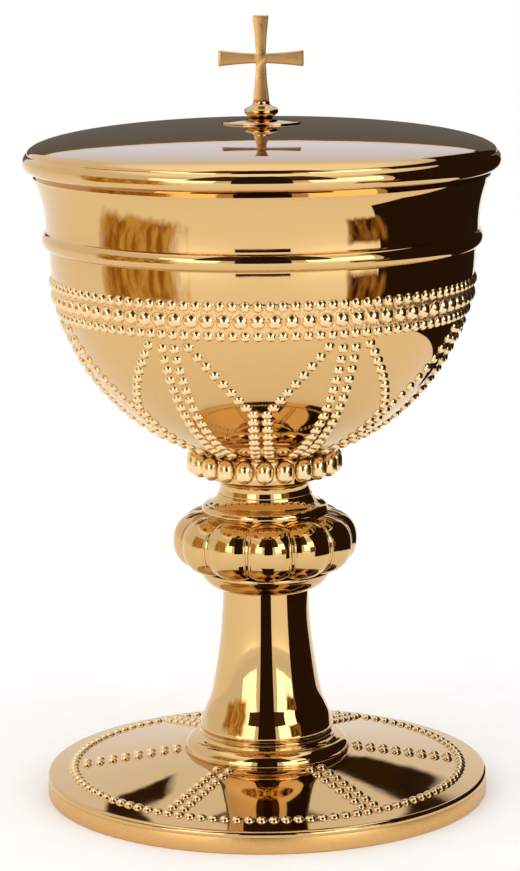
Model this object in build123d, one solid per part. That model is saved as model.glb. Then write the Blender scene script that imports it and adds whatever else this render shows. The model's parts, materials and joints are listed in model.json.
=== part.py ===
from build123d import *
import math
import os

# Lidded ciborium: a footed cup with a domed lid. Millimetres, +Z up, origin at the middle of the
# foot's bottom face. Azimuth 0 is the front (-Y) and grows towards +X.

# ---------------------------------------------------------------- driving dimensions
# foot
FOOT_RADIUS = 62.5
RIM_HEIGHT = 4.6          # satin outer face of the rim ring
RIM_WIDTH = 3.5
RIM_CHAMFER = 0.3
PLATE_WALL = 1.2
PLATE_EDGE = 1.7          # rolled edge of the plate above the rim ring
PLATE_SEAT = 2.1          # width of the plate's seat on the rim ring
PLATE_EDGE_STRAIGHT = 0.6 # upright part of the plate's edge
PLATE_EDGE_ROUND = 1.1    # the edge rolls inward over this width
PLATE_SLOPE = 8.7         # degrees
HUB_MARGIN = 0.4          # flat seat of the plate outside the stem's flange

# stem
FLANGE_RADIUS = 23.5
FLANGE_HEIGHT = 5.95
STEM_FOOT_RADIUS = 18.9
STEM_TOP_RADIUS = 12.0
STEM_HEIGHT = 40.9
STEM_WALL = 1.2
STEM_CURVE = (            # share of the height, share of the flare
    (0.035, 1.0), (0.12, 0.84), (0.21, 0.61), (0.33, 0.43), (0.5, 0.26), (0.75, 0.085), (1.0, 0.0),
)

# knop and neck
LOWER_RING_HEIGHT = 5.6
LOWER_RING_RADIUS = 18.8
KNOP_RADIUS = 25.95
KNOP_LOBE_RADIUS = 9.45   # half-width of one lobe, about its own upright axis
KNOP_HALF_HEIGHT = 8.4
KNOP_HEIGHT = 15.6        # between the two ring seats
KNOP_BORE = 12.0
KNOP_LOBES = 12
KNOP_TURN = 3.0           # degrees
KNOP_LIFT = 0.4           # the widest part lies this far above the middle
KNOP_CURVE = 2.25         # 2 gives an ellipse, more gives squarer shoulders
RIB_WIDTH = 0.8
RIB_GAP = 0.8
RIB_PROUD = 0.55
UPPER_RING_HEIGHT = 6.2
UPPER_RING_RADIUS = 17.8
NECK_HEIGHT = 5.0
NECK_RADIUS = 12.65

# cup
COLLAR_RADIUS = 16.8      # boss under the bowl, inside the bead collar
COLLAR_BEADS = 22
COLLAR_BEAD_RADIUS = 2.55
COLLAR_BEAD_HALF = 3.3
COLLAR_BEAD_STEP = 0.1    # the beads stand this far clear of the boss
COLLAR_BAND_WALL = 1.3    # band that joins the beads behind
COLLAR_BAND_DROP = 0.9    # the band is this much shorter than the beads at each end
COLLAR_GAP = 0.7          # from the neck's top to the lowest point of the collar beads
COLLAR_HEADROOM = 7.967   # from the neck's top to the bowl's skin over the collar beads
BOWL_RADIUS = 60.0        # radius of the bowl's curve
BOWL_INSET = 0.95         # the curve's centre lies this far across the axis
CUP_WALL = 1.2
BAND_LOW = 0.3            # from the bowl curve's centre up to the band
BAND_HEIGHT = 4.9
BAND_PROUD = 1.6
THROAT_STEP = 0.9         # the throat above the band is this much wider than the bowl
THROAT_HEIGHT = 0.6
LIP_FLARE = 3.25          # the lip is this much wider than the throat
LIP_HEIGHT = 14.7
SEAM_CHAMFER = 0.35

# beads
BEAD_RADIUS = 1.6
BEAD_HEIGHT = 1.0
BIG_BEAD_RADIUS = 2.2
BIG_BEAD_HEIGHT = 1.3
BEAD_GAP = 0.12           # between two beads of a row
ROW_GAP = 0.35            # between two rows
UPPER_ROW_ANGLE = 8.44    # degrees below the bowl curve's centre
REPEATS = 7               # chevrons round the bowl
BOWL_TURN = -1.5          # degrees
CHEVRON_LOW = 41.7        # degrees below the bowl curve's centre
MERIDIAN_DROP = 0.7       # degrees from the chevrons' top to the upright columns' top
COLUMN_LOW = 66.0
COLUMN_GAP = 0.5          # between the two columns of a pair
ARM_GAP = 0.97            # between an arm's top bead and the upright columns beside it
FOOT_RING_INSET = 7.4     # from the foot's edge to the ring of beads
FOOT_SPOKES = 6
FOOT_TURN = 1.7           # degrees
SPOKE_GAP = 0.4           # between a spoke's end and its neighbours

# lid
LID_OVERHANG = 2.85       # the lid's roll stands this far out from the lip
LID_CREASE_OVERHANG = 1.6
LID_CREASE_HEIGHT = 6.0
LID_CROWN_HEIGHT = 7.8
LID_CURVE = 2.1           # 2 gives an ellipse, more gives a squarer shoulder
LID_WALL = 1.2
LID_SEAT_WIDTH = 1.7
LOCATOR_WALL = 1.0
LOCATOR_DEPTH = 9.0       # below the seat
LOCATOR_CLEARANCE = 0.45

# finial
SAUCER_RADIUS = 11.05
SAUCER_EDGE = 0.6
SAUCER_RISE = 0.7
BULB_RADIUS = 4.6
BULB_HEIGHT = 4.2
BULB_NECK_RADIUS = 2.3
BULB_NECK_HEIGHT = 0.3
CROSS_ARM = 11.7
CROSS_END = 4.4
CROSS_WAIST = 2.6
CROSS_THICK = 2.2
CROSS_BEVEL = 0.4
CROSS_TURN = -5.0         # degrees
TENON_RADIUS = 0.8
TENON_LENGTH = 1.4

# fasteners
ROD_RADIUS = 3.0
ROD_TAIL = 1.6            # below the nut
ROD_TIP_DROP = 0.4        # the rod ends this far under the bowl
NUT_FLATS = 10.0
NUT_HEIGHT = 5.0
WASHER_RADIUS = 14.0
WASHER_THICK = 2.0
STUD_RADIUS = 1.5
STUD_NUT_FLATS = 5.5
STUD_NUT_HEIGHT = 2.4
STUD_WASHER_RADIUS = 5.0
STUD_WASHER_THICK = 0.8
STUD_TAIL = 1.2
STUD_GRIP = 2.4           # length held in the bulb
THREAD_GAP = 0.05
HOLE_GAP = 0.3
SPIGOT_HEIGHT = 2.4
SPIGOT_GAP = 0.25
STEM_SPIGOT_STEP = 0.9    # the stem narrows by this much beside the flange's spigot

# ---------------------------------------------------------------- worked-out heights
SLOPE_RISE = math.tan(math.radians(PLATE_SLOPE))
PLATE_TOP_RADIUS = FOOT_RADIUS - PLATE_EDGE_ROUND
HUB_RADIUS = FLANGE_RADIUS + HUB_MARGIN
FOOT_RING_RADIUS = FOOT_RADIUS - FOOT_RING_INSET


def plate_top(radius):
    """Height of the foot plate's upper face at a radius."""
    return RIM_HEIGHT + PLATE_EDGE + (PLATE_TOP_RADIUS - radius) * SLOPE_RISE


HUB_TOP = plate_top(HUB_RADIUS)
HUB_BOTTOM = HUB_TOP - PLATE_WALL
STEM_LOW = HUB_TOP + FLANGE_HEIGHT
STEM_HIGH = STEM_LOW + STEM_HEIGHT
KNOP_LOW = STEM_HIGH + LOWER_RING_HEIGHT
KNOP_HIGH = KNOP_LOW + KNOP_HEIGHT
KNOP_MID = KNOP_LOW + KNOP_HEIGHT / 2 + KNOP_LIFT
NECK_LOW = KNOP_HIGH + UPPER_RING_HEIGHT
NECK_HIGH = NECK_LOW + NECK_HEIGHT
COLLAR_BEAD_RING = COLLAR_RADIUS + COLLAR_BEAD_RADIUS + COLLAR_BEAD_STEP
BOWL_CENTRE = NECK_HIGH + COLLAR_HEADROOM + math.sqrt(BOWL_RADIUS**2 - (COLLAR_BEAD_RING + BOWL_INSET)**2)
BOWL_LOWEST = BOWL_CENTRE - math.sqrt(BOWL_RADIUS**2 - BOWL_INSET**2)
BAND_BOTTOM = BOWL_CENTRE + BAND_LOW
BAND_TOP = BAND_BOTTOM + BAND_HEIGHT
THROAT_LOW = BAND_TOP + THROAT_HEIGHT
LIP_TOP = THROAT_LOW + LIP_HEIGHT
BOWL_WALL_RADIUS = BOWL_RADIUS - BOWL_INSET
THROAT_RADIUS = BOWL_WALL_RADIUS + THROAT_STEP
LIP_RADIUS = THROAT_RADIUS + LIP_FLARE
LID_RADIUS = LIP_RADIUS + LID_OVERHANG
LID_CREASE_RADIUS = LIP_RADIUS + LID_CREASE_OVERHANG
LID_CREASE = LIP_TOP + LID_CREASE_HEIGHT
LID_TOP = LID_CREASE + LID_CROWN_HEIGHT
LID_INNER_RADIUS = LIP_RADIUS - LID_SEAT_WIDTH
SAUCER_TOP = LID_TOP + SAUCER_EDGE + SAUCER_RISE
BULB_TOP = SAUCER_TOP + BULB_HEIGHT
CROSS_LOW = BULB_TOP + BULB_NECK_HEIGHT
CROSS_MIDDLE = CROSS_LOW + CROSS_ARM
BEAD_PITCH = 2 * BEAD_RADIUS + BEAD_GAP
COLUMN_SPACING = 2 * BEAD_RADIUS + COLUMN_GAP
ROW_STEP = math.degrees((BEAD_RADIUS + BIG_BEAD_RADIUS + ROW_GAP) / BOWL_RADIUS)
MIDDLE_ROW_ANGLE = UPPER_ROW_ANGLE + ROW_STEP
LOWER_ROW_ANGLE = MIDDLE_ROW_ANGLE + ROW_STEP
CHEVRON_TOP = LOWER_ROW_ANGLE + math.degrees((2 * BEAD_RADIUS + ROW_GAP) / BOWL_RADIUS)


# ---------------------------------------------------------------- shared helpers
def turned(*edges):
    """Solid turned about the axis from a closed outline of (radius, height) edges."""
    outline = Curve() + list(edges)
    return revolve(Plane.XZ * make_face(outline), Axis.Z)


def joined(*points):
    """Straight outline edges through (radius, height) points."""
    return Polyline(*points)


def tube(inner, outer, low, high):
    """Plain ring between two radii and two heights."""
    return Pos(0, 0, low) * extrude(Circle(outer) - Circle(inner), high - low)


def disc(radius, low, high):
    """Plain disc between two heights."""
    return Pos(0, 0, low) * extrude(Circle(radius), high - low)


def hex_nut(flats, height, hole, low):
    """Hexagon nut standing on a height."""
    outline = RegularPolygon(flats / 2, 6, major_radius=False) - Circle(hole)
    return Pos(0, 0, low) * extrude(outline, height)


def dome_bead(radius, height):
    """Round bead with a flat back, standing on the XY plane."""
    ball_radius = (radius**2 + height**2) / (2 * height)
    ball = Pos(0, 0, height - ball_radius) * Sphere(ball_radius)
    return split(ball, bisect_by=Plane.XY, keep=Keep.TOP)


def skin_radius(angle):
    """Radius of the bowl's skin at an angle below the bowl curve's centre."""
    return BOWL_RADIUS * math.cos(math.radians(angle)) - BOWL_INSET


def bowl_frame(azimuth, angle, across=0.0):
    """Plane on the bowl's skin, facing out, at an angle below the bowl curve's centre."""
    radius = skin_radius(angle)
    height = BOWL_CENTRE - BOWL_RADIUS * math.sin(math.radians(angle))
    turn = math.radians(azimuth + BOWL_TURN) + across / radius
    out = Vector(math.sin(turn), -math.cos(turn), 0)
    normal = out * math.cos(math.radians(angle)) - Vector(0, 0, math.sin(math.radians(angle)))
    return Plane(origin=out * radius + Vector(0, 0, height), z_dir=normal)


def plate_frame(azimuth, radius, across=0.0):
    """Plane on the foot plate's upper face, facing up the slope's normal."""
    turn = math.radians(azimuth + FOOT_TURN) + across / radius
    out = Vector(math.sin(turn), -math.cos(turn), 0)
    normal = out * math.sin(math.radians(PLATE_SLOPE)) + Vector(0, 0, math.cos(math.radians(PLATE_SLOPE)))
    return Plane(origin=out * radius + Vector(0, 0, plate_top(radius)), z_dir=normal)


def steps(first, last, count):
    """Evenly spaced values, both ends included."""
    return [first + (last - first) * i / (count - 1) for i in range(count)]


def steps_apart(first, last, length, pitch):
    """Evenly spaced values along a length, at least a pitch apart."""
    return steps(first, last, int(length / pitch) + 1)


def group(shapes):
    """Several separate solids as one node."""
    return Compound(children=list(shapes))


# ---------------------------------------------------------------- foot
def foot_rim():
    ring = tube(FOOT_RADIUS - RIM_WIDTH, FOOT_RADIUS, 0, RIM_HEIGHT)
    return chamfer(ring.edges().sort_by(Axis.Z)[:2], RIM_CHAMFER)


def foot_plate():
    edge_low = RIM_HEIGHT + PLATE_EDGE_STRAIGHT
    seat = FOOT_RADIUS - PLATE_SEAT
    sag = PLATE_EDGE_ROUND * (1 - math.cos(math.radians(45)))
    corner = (FOOT_RADIUS - sag, RIM_HEIGHT + PLATE_EDGE - sag)
    under = seat - 0.2
    return turned(
        joined((FOOT_RADIUS, RIM_HEIGHT), (FOOT_RADIUS, edge_low)),
        ThreePointArc((FOOT_RADIUS, edge_low), corner, (PLATE_TOP_RADIUS, plate_top(PLATE_TOP_RADIUS))),
        joined(
            (PLATE_TOP_RADIUS, plate_top(PLATE_TOP_RADIUS)),
            (HUB_RADIUS, HUB_TOP),
            (ROD_RADIUS + HOLE_GAP, HUB_TOP),
            (ROD_RADIUS + HOLE_GAP, HUB_BOTTOM),
            (HUB_RADIUS, HUB_BOTTOM),
            (under, plate_top(under) - PLATE_WALL),
            (seat, RIM_HEIGHT),
            (FOOT_RADIUS, RIM_HEIGHT),
        ),
    )


def foot_bead_ring():
    count = int(2 * math.pi * FOOT_RING_RADIUS / BEAD_PITCH)
    bead = dome_bead(BEAD_RADIUS, BEAD_HEIGHT)
    return group(plate_frame(360 * i / count, FOOT_RING_RADIUS) * bead for i in range(count))


def foot_spokes():
    bead = dome_bead(BEAD_RADIUS, BEAD_HEIGHT)
    first = HUB_RADIUS + BEAD_RADIUS + SPOKE_GAP
    last = FOOT_RING_RADIUS - 2 * BEAD_RADIUS - SPOKE_GAP
    beads = []
    for spoke in range(FOOT_SPOKES):
        azimuth = 360 * (spoke + 0.5) / FOOT_SPOKES
        for radius in steps_apart(first, last, last - first, BEAD_PITCH):
            for side in (-1, 1):
                beads.append(plate_frame(azimuth, radius, side * COLUMN_SPACING / 2) * bead)
    return group(beads)


# ---------------------------------------------------------------- stem
def stem():
    flare = STEM_FOOT_RADIUS - STEM_TOP_RADIUS
    outer = [(STEM_TOP_RADIUS + flare * out, STEM_LOW + STEM_HEIGHT * up) for up, out in STEM_CURVE]
    inner = [(r - STEM_WALL, z) for r, z in outer]
    return turned(
        Spline(*outer),
        joined(outer[-1], inner[-1]),
        Spline(*reversed(inner)),
        joined(inner[0], (inner[0][0], STEM_LOW), (STEM_FOOT_RADIUS - 0.5, STEM_LOW)),
        ThreePointArc((STEM_FOOT_RADIUS - 0.5, STEM_LOW), (STEM_FOOT_RADIUS - 0.1, STEM_LOW + 0.45), outer[0]),
    )


def stem_flange():
    bore = ROD_RADIUS + HOLE_GAP
    spigot = STEM_FOOT_RADIUS - STEM_WALL - STEM_SPIGOT_STEP
    lip = (FLANGE_RADIUS, HUB_TOP + 0.65)
    step = (FLANGE_RADIUS - 3.1, HUB_TOP + 3.75)
    return turned(
        joined((bore, HUB_TOP), (FLANGE_RADIUS, HUB_TOP), lip, (FLANGE_RADIUS - 0.2, HUB_TOP + 0.85)),
        ThreePointArc((FLANGE_RADIUS - 0.2, HUB_TOP + 0.85), (FLANGE_RADIUS - 0.95, HUB_TOP + 2.7), step),
        joined(
            step,
            (STEM_FOOT_RADIUS + 0.3, HUB_TOP + 4.0),
            (STEM_FOOT_RADIUS + 0.3, HUB_TOP + 4.6),
            (STEM_FOOT_RADIUS - 0.4, HUB_TOP + 4.9),
            (STEM_FOOT_RADIUS - 0.1, HUB_TOP + 5.3),
            (STEM_FOOT_RADIUS - 0.5, STEM_LOW),
            (spigot, STEM_LOW),
            (spigot, STEM_LOW + SPIGOT_HEIGHT),
            (bore, STEM_LOW + SPIGOT_HEIGHT),
            (bore, HUB_TOP),
        ),
    )


# ---------------------------------------------------------------- knop
def knop_lower_ring():
    bore = ROD_RADIUS + HOLE_GAP
    spigot = STEM_TOP_RADIUS - STEM_WALL - SPIGOT_GAP
    top_spigot = KNOP_BORE - SPIGOT_GAP
    dish_low = (STEM_TOP_RADIUS + 0.15, STEM_HIGH)
    dish_high = (LOWER_RING_RADIUS - 0.6, KNOP_LOW - 0.9)
    return turned(
        joined(
            (bore, STEM_HIGH - SPIGOT_HEIGHT),
            (spigot, STEM_HIGH - SPIGOT_HEIGHT),
            (spigot, STEM_HIGH),
            dish_low,
        ),
        ThreePointArc(dish_low, (STEM_TOP_RADIUS + 4.2, STEM_HIGH + 1.7), dish_high),
        joined(
            dish_high,
            (LOWER_RING_RADIUS, KNOP_LOW - 0.8),
            (LOWER_RING_RADIUS, KNOP_LOW),
            (top_spigot, KNOP_LOW),
            (top_spigot, KNOP_LOW + SPIGOT_HEIGHT),
            (bore, KNOP_LOW + SPIGOT_HEIGHT),
            (bore, STEM_HIGH - SPIGOT_HEIGHT),
        ),
    )


def lobe_half_width(height):
    """Half-width of a knop lobe at a height above its middle."""
    share = min(abs(height) / KNOP_HALF_HEIGHT, 1.0)
    return KNOP_LOBE_RADIUS * (1 - share**KNOP_CURVE) ** (1 / KNOP_CURVE)


def knop_lobe():
    """One lobe of the knop, cut to its own share of the circle."""
    axis_radius = KNOP_RADIUS - KNOP_LOBE_RADIUS
    angles = [math.radians(a) for a in range(-90, 91, 15)]
    skin = []
    for angle in angles:
        height = KNOP_HALF_HEIGHT * math.copysign(abs(math.sin(angle)) ** (2 / KNOP_CURVE), angle)
        skin.append((lobe_half_width(height), height))
    skin[0] = (0, -KNOP_HALF_HEIGHT)
    skin[-1] = (0, KNOP_HALF_HEIGHT)
    outline = Spline(*skin, tangents=((1, 0), (-1, 0))) + Line(skin[-1], skin[0])
    body = revolve(Plane.XZ * make_face(outline), Axis.Z)
    half_share = math.tan(math.pi / KNOP_LOBES)
    reach = KNOP_RADIUS + 2
    wedge = Polyline((0, 0), (reach, -reach * half_share), (reach, reach * half_share), (0, 0))
    wedge = Pos(0, 0, -KNOP_HALF_HEIGHT - 1) * extrude(make_face(wedge), 2 * KNOP_HALF_HEIGHT + 2)
    return (Pos(axis_radius, 0, 0) * body) & wedge


def knop_rib():
    """One raised rib, an upright plate that follows the valley between two lobes."""
    axis_radius = KNOP_RADIUS - KNOP_LOBE_RADIUS
    half_turn = math.pi / KNOP_LOBES
    sideways = axis_radius * math.sin(half_turn)
    reach = KNOP_HEIGHT / 2 - 1.2
    skin = []
    for height in steps(-reach, reach, 9):
        depth = math.sqrt(max(lobe_half_width(height) ** 2 - sideways**2, 0))
        skin.append((axis_radius * math.cos(half_turn) + depth + RIB_PROUD, height))
    root = axis_radius
    outline = Spline(*skin) + Polyline(skin[-1], (root, reach), (root, -reach), skin[0])
    return extrude(Plane.XZ * make_face(outline), RIB_WIDTH / 2, both=True)


def knop():
    lobe = knop_lobe()
    rib = knop_rib()
    share = 360 / KNOP_LOBES
    offset = (RIB_GAP + RIB_WIDTH) / 2
    body = lobe
    for i in range(1, KNOP_LOBES):
        body += Rot(0, 0, share * i) * lobe
    for i in range(KNOP_LOBES):
        for side in (-1, 1):
            body += Rot(0, 0, share * (i + 0.5)) * Pos(0, side * offset, 0) * rib
    body = Pos(0, 0, KNOP_MID) * Rot(0, 0, KNOP_TURN) * body
    body -= disc(KNOP_BORE, KNOP_LOW - 5, KNOP_HIGH + 5)
    body -= disc(LOWER_RING_RADIUS + 0.05, KNOP_LOW - 5, KNOP_LOW)
    body -= disc(UPPER_RING_RADIUS + 0.05, KNOP_HIGH, KNOP_HIGH + 5)
    return body


def knop_upper_ring():
    bore = ROD_RADIUS + HOLE_GAP
    spigot = KNOP_BORE - SPIGOT_GAP
    roll_low = (UPPER_RING_RADIUS - 0.8, KNOP_HIGH)
    roll_high = (UPPER_RING_RADIUS - 1.7, KNOP_HIGH + 3.3)
    cove_low = (UPPER_RING_RADIUS - 2.5, KNOP_HIGH + 3.6)
    cove_high = (NECK_RADIUS + 0.6, NECK_LOW - 0.5)
    return turned(
        joined(
            (bore, KNOP_HIGH - SPIGOT_HEIGHT),
            (spigot, KNOP_HIGH - SPIGOT_HEIGHT),
            (spigot, KNOP_HIGH),
            roll_low,
        ),
        ThreePointArc(roll_low, (UPPER_RING_RADIUS, KNOP_HIGH + 1.6), roll_high),
        joined(roll_high, cove_low),
        ThreePointArc(cove_low, (NECK_RADIUS + 1.3, NECK_LOW - 1.5), cove_high),
        joined(cove_high, (NECK_RADIUS + 0.6, NECK_LOW), (bore, NECK_LOW), (bore, KNOP_HIGH - SPIGOT_HEIGHT)),
    )


def neck():
    bore = ROD_RADIUS + HOLE_GAP
    waist = (NECK_RADIUS, NECK_LOW + 1.5)
    return turned(
        joined((bore, NECK_LOW), (NECK_RADIUS + 0.4, NECK_LOW), (NECK_RADIUS + 0.4, NECK_LOW + 0.4), waist),
        Spline(
            waist,
            (NECK_RADIUS + 0.5, NECK_LOW + 3.4),
            (COLLAR_RADIUS, NECK_HIGH),
            tangents=((0, 1), (1, 0.25)),
        ),
        joined((COLLAR_RADIUS, NECK_HIGH), (bore, NECK_HIGH), (bore, NECK_LOW)),
    )


# ---------------------------------------------------------------- cup
def bowl_ball():
    """The ball that the bowl's curve would close, used to trim what fits under the bowl."""
    lowest = (0, -math.sqrt(BOWL_RADIUS**2 - BOWL_INSET**2))
    flank = (
        BOWL_RADIUS * math.cos(math.radians(60)) - BOWL_INSET,
        -BOWL_RADIUS * math.sin(math.radians(60)),
    )
    return Pos(0, 0, BOWL_CENTRE) * turned(
        ThreePointArc(lowest, flank, (BOWL_WALL_RADIUS, 0)),
        joined((BOWL_WALL_RADIUS, 0), (0, 0), lowest),
    )


def cup_boss():
    boss = disc(COLLAR_RADIUS, NECK_HIGH, BOWL_LOWEST + COLLAR_RADIUS / 2)
    boss -= disc(ROD_RADIUS + THREAD_GAP, NECK_HIGH - 1, BOWL_LOWEST + 1)
    return boss - bowl_ball()


def collar_bead():
    """Upright bead with round ends."""
    straight = COLLAR_BEAD_HALF - COLLAR_BEAD_RADIUS
    bead = disc(COLLAR_BEAD_RADIUS, -straight, straight)
    bead += Pos(0, 0, straight) * Sphere(COLLAR_BEAD_RADIUS)
    return bead + Pos(0, 0, -straight) * Sphere(COLLAR_BEAD_RADIUS)


def bead_collar():
    low = NECK_HIGH + COLLAR_GAP
    band_low = low + COLLAR_BAND_DROP
    band_high = low + 2 * COLLAR_BEAD_HALF - COLLAR_BAND_DROP
    collar = tube(COLLAR_RADIUS, COLLAR_RADIUS + COLLAR_BAND_WALL, band_low, band_high)
    bead = collar_bead()
    for i in range(COLLAR_BEADS):
        collar += Rot(0, 0, 360 * i / COLLAR_BEADS) * Pos(COLLAR_BEAD_RING, 0, low + COLLAR_BEAD_HALF) * bead
    return collar


def bowl_arc(radius):
    """Outline of the bowl from its lowest point to its widest."""
    return ThreePointArc(
        (0, BOWL_CENTRE - math.sqrt(radius**2 - BOWL_INSET**2)),
        (
            radius * math.cos(math.radians(45)) - BOWL_INSET,
            BOWL_CENTRE - radius * math.sin(math.radians(45)),
        ),
        (radius - BOWL_INSET, BOWL_CENTRE),
    )


def flare_radius(height, wall=0.0):
    """Radius of the cup's flared lip at a height above the throat, less a wall."""
    spread = LIP_RADIUS - THROAT_RADIUS
    curve = (spread**2 + LIP_HEIGHT**2) / (2 * spread)
    return THROAT_RADIUS + curve - math.sqrt((curve + wall) ** 2 - height**2)


def flare_arc(wall=0.0):
    """Outline of the flared lip, from the throat to the lip."""
    return ThreePointArc(
        (flare_radius(0, wall), THROAT_LOW),
        (flare_radius(LIP_HEIGHT / 2, wall), THROAT_LOW + LIP_HEIGHT / 2),
        (flare_radius(LIP_HEIGHT, wall), LIP_TOP),
    )


def cup_shell():
    outer_foot = (0, BOWL_CENTRE - math.sqrt(BOWL_RADIUS**2 - BOWL_INSET**2))
    inner_radius = BOWL_RADIUS - CUP_WALL
    inner_foot = (0, BOWL_CENTRE - math.sqrt(inner_radius**2 - BOWL_INSET**2))
    shell = turned(
        bowl_arc(BOWL_RADIUS),
        joined(
            (BOWL_WALL_RADIUS, BOWL_CENTRE),
            (BOWL_WALL_RADIUS, BAND_BOTTOM),
            (THROAT_RADIUS, BAND_TOP),
            (THROAT_RADIUS, THROAT_LOW),
        ),
        flare_arc(),
        joined((LIP_RADIUS, LIP_TOP), (flare_radius(LIP_HEIGHT, CUP_WALL), LIP_TOP)),
        flare_arc(CUP_WALL),
        joined(
            (THROAT_RADIUS - CUP_WALL, THROAT_LOW),
            (THROAT_RADIUS - CUP_WALL, BAND_TOP),
            (BOWL_WALL_RADIUS - CUP_WALL, BAND_BOTTOM),
            (BOWL_WALL_RADIUS - CUP_WALL, BOWL_CENTRE),
        ),
        bowl_arc(inner_radius),
        joined(inner_foot, outer_foot),
    )
    lip = shell.edges().filter_by(GeomType.CIRCLE).filter_by_position(Axis.Z, LIP_TOP - 0.01, LIP_TOP + 0.01)
    return chamfer(lip.sort_by(SortBy.RADIUS)[-1], SEAM_CHAMFER)


def cup_band():
    middle = (BAND_BOTTOM + BAND_TOP) / 2
    return turned(
        ThreePointArc(
            (BOWL_WALL_RADIUS, BAND_BOTTOM),
            ((BOWL_WALL_RADIUS + THROAT_RADIUS) / 2 + BAND_PROUD, middle),
            (THROAT_RADIUS, BAND_TOP),
        ),
        joined((THROAT_RADIUS, BAND_TOP), (BOWL_WALL_RADIUS, BAND_BOTTOM)),
    )


def bead_row(angle, radius, height):
    """A ring of beads round the bowl, at an angle below the bowl curve's centre."""
    count = int(2 * math.pi * skin_radius(angle) / (2 * radius + BEAD_GAP))
    bead = dome_bead(radius, height)
    return group(bowl_frame(360 * i / count, angle) * bead for i in range(count))


def column_angles(top):
    """Angles of the beads in an upright column, from a top angle to the collar."""
    length = BOWL_RADIUS * math.radians(COLUMN_LOW - top)
    return steps_apart(top, COLUMN_LOW, length, BEAD_PITCH)


def bead_chevrons():
    bead = dome_bead(BEAD_RADIUS, BEAD_HEIGHT)
    beside = COLUMN_SPACING / 2 + 2 * BEAD_RADIUS + ARM_GAP
    spread = 180 / REPEATS - math.degrees(beside / skin_radius(CHEVRON_TOP))
    foot_turn = math.degrees(COLUMN_SPACING / 2 / skin_radius(CHEVRON_LOW))
    tail_top = CHEVRON_LOW + math.degrees(BEAD_PITCH / BOWL_RADIUS)
    down = BOWL_RADIUS * math.radians(CHEVRON_LOW - CHEVRON_TOP)
    middle_radius = (skin_radius(CHEVRON_TOP) + skin_radius(CHEVRON_LOW)) / 2
    across = middle_radius * math.radians(spread - foot_turn)
    arm = math.hypot(down, across)
    turns = steps_apart(spread, foot_turn, arm, BEAD_PITCH)
    angles = steps_apart(CHEVRON_TOP, CHEVRON_LOW, arm, BEAD_PITCH)
    beads = []
    for i in range(REPEATS):
        middle = 360 * i / REPEATS
        for side in (-1, 1):
            for turn, angle in zip(turns, angles):
                beads.append(bowl_frame(middle + side * turn, angle) * bead)
            for angle in column_angles(tail_top):
                beads.append(bowl_frame(middle, angle, side * COLUMN_SPACING / 2) * bead)
    return group(beads)


def bead_meridians():
    bead = dome_bead(BEAD_RADIUS, BEAD_HEIGHT)
    beads = []
    for i in range(REPEATS):
        middle = 360 * (i + 0.5) / REPEATS
        for side in (-1, 1):
            for angle in column_angles(CHEVRON_TOP + MERIDIAN_DROP):
                beads.append(bowl_frame(middle, angle, side * COLUMN_SPACING / 2) * bead)
    return group(beads)


# ---------------------------------------------------------------- tie rod
def tie_rod():
    low = HUB_BOTTOM - WASHER_THICK - NUT_HEIGHT - ROD_TAIL
    return disc(ROD_RADIUS, low, BOWL_LOWEST - ROD_TIP_DROP)


def rod_washer():
    return tube(ROD_RADIUS + HOLE_GAP, WASHER_RADIUS, HUB_BOTTOM - WASHER_THICK, HUB_BOTTOM)


def rod_nut():
    low = HUB_BOTTOM - WASHER_THICK - NUT_HEIGHT
    return hex_nut(NUT_FLATS, NUT_HEIGHT, ROD_RADIUS + THREAD_GAP, low)


# ---------------------------------------------------------------- lid
def crown_point(angle, wall=0.0):
    """Point on the lid's crown, 0 degrees at the top and 90 at the crease, inside a wall."""
    rim = LID_CREASE_RADIUS if wall == 0 else LID_INNER_RADIUS
    radius = rim * math.sin(math.radians(angle)) ** (2 / LID_CURVE)
    return (radius, LID_CREASE + (LID_CROWN_HEIGHT - wall) * math.cos(math.radians(angle)))


def crown_height(radius, wall=0.0):
    """Height of the lid's crown at a radius, inside a wall."""
    rim = LID_CREASE_RADIUS if wall == 0 else LID_INNER_RADIUS
    share = (radius / rim) ** LID_CURVE
    return LID_CREASE + (LID_CROWN_HEIGHT - wall) * math.sqrt(1 - share)


def crown_arc(wall=0.0):
    """Outline of the crown from the top to the crease."""
    points = [crown_point(angle, wall) for angle in (0, 12, 25, 38, 50, 62, 76, 90)]
    return Spline(*points, tangents=((1, 0), (0, -1)))


def crown_plug(wall=0.0):
    """Everything under the crown, down past the locating ring."""
    rim = LID_CREASE_RADIUS if wall == 0 else LID_INNER_RADIUS
    low = LIP_TOP - 2 * LOCATOR_DEPTH
    return turned(
        crown_arc(wall),
        joined((rim, LID_CREASE), (rim, low), (0, low), crown_point(0, wall)),
    )


def lid_shell():
    roll = (LID_RADIUS, LIP_TOP + 4.1)
    flank = (LIP_RADIUS + 0.95, LIP_TOP + SEAM_CHAMFER + 0.75)
    outer_seam = (LIP_RADIUS, LIP_TOP + SEAM_CHAMFER)
    shell = turned(
        crown_arc(),
        ThreePointArc((LID_CREASE_RADIUS, LID_CREASE), roll, flank),
        joined(
            flank,
            outer_seam,
            (LIP_RADIUS - SEAM_CHAMFER, LIP_TOP),
            (LID_INNER_RADIUS, LIP_TOP),
            (LID_INNER_RADIUS, LID_CREASE),
        ),
        crown_arc(LID_WALL),
        joined(crown_point(0, LID_WALL), crown_point(0)),
    )
    return shell - disc(STUD_RADIUS + HOLE_GAP, LID_CREASE, LID_TOP + 1)


def lid_locating_ring():
    outer = THROAT_RADIUS - CUP_WALL - LOCATOR_CLEARANCE
    ring = tube(outer - LOCATOR_WALL, outer, LIP_TOP - LOCATOR_DEPTH, LID_TOP)
    return ring & crown_plug(LID_WALL)


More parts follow.
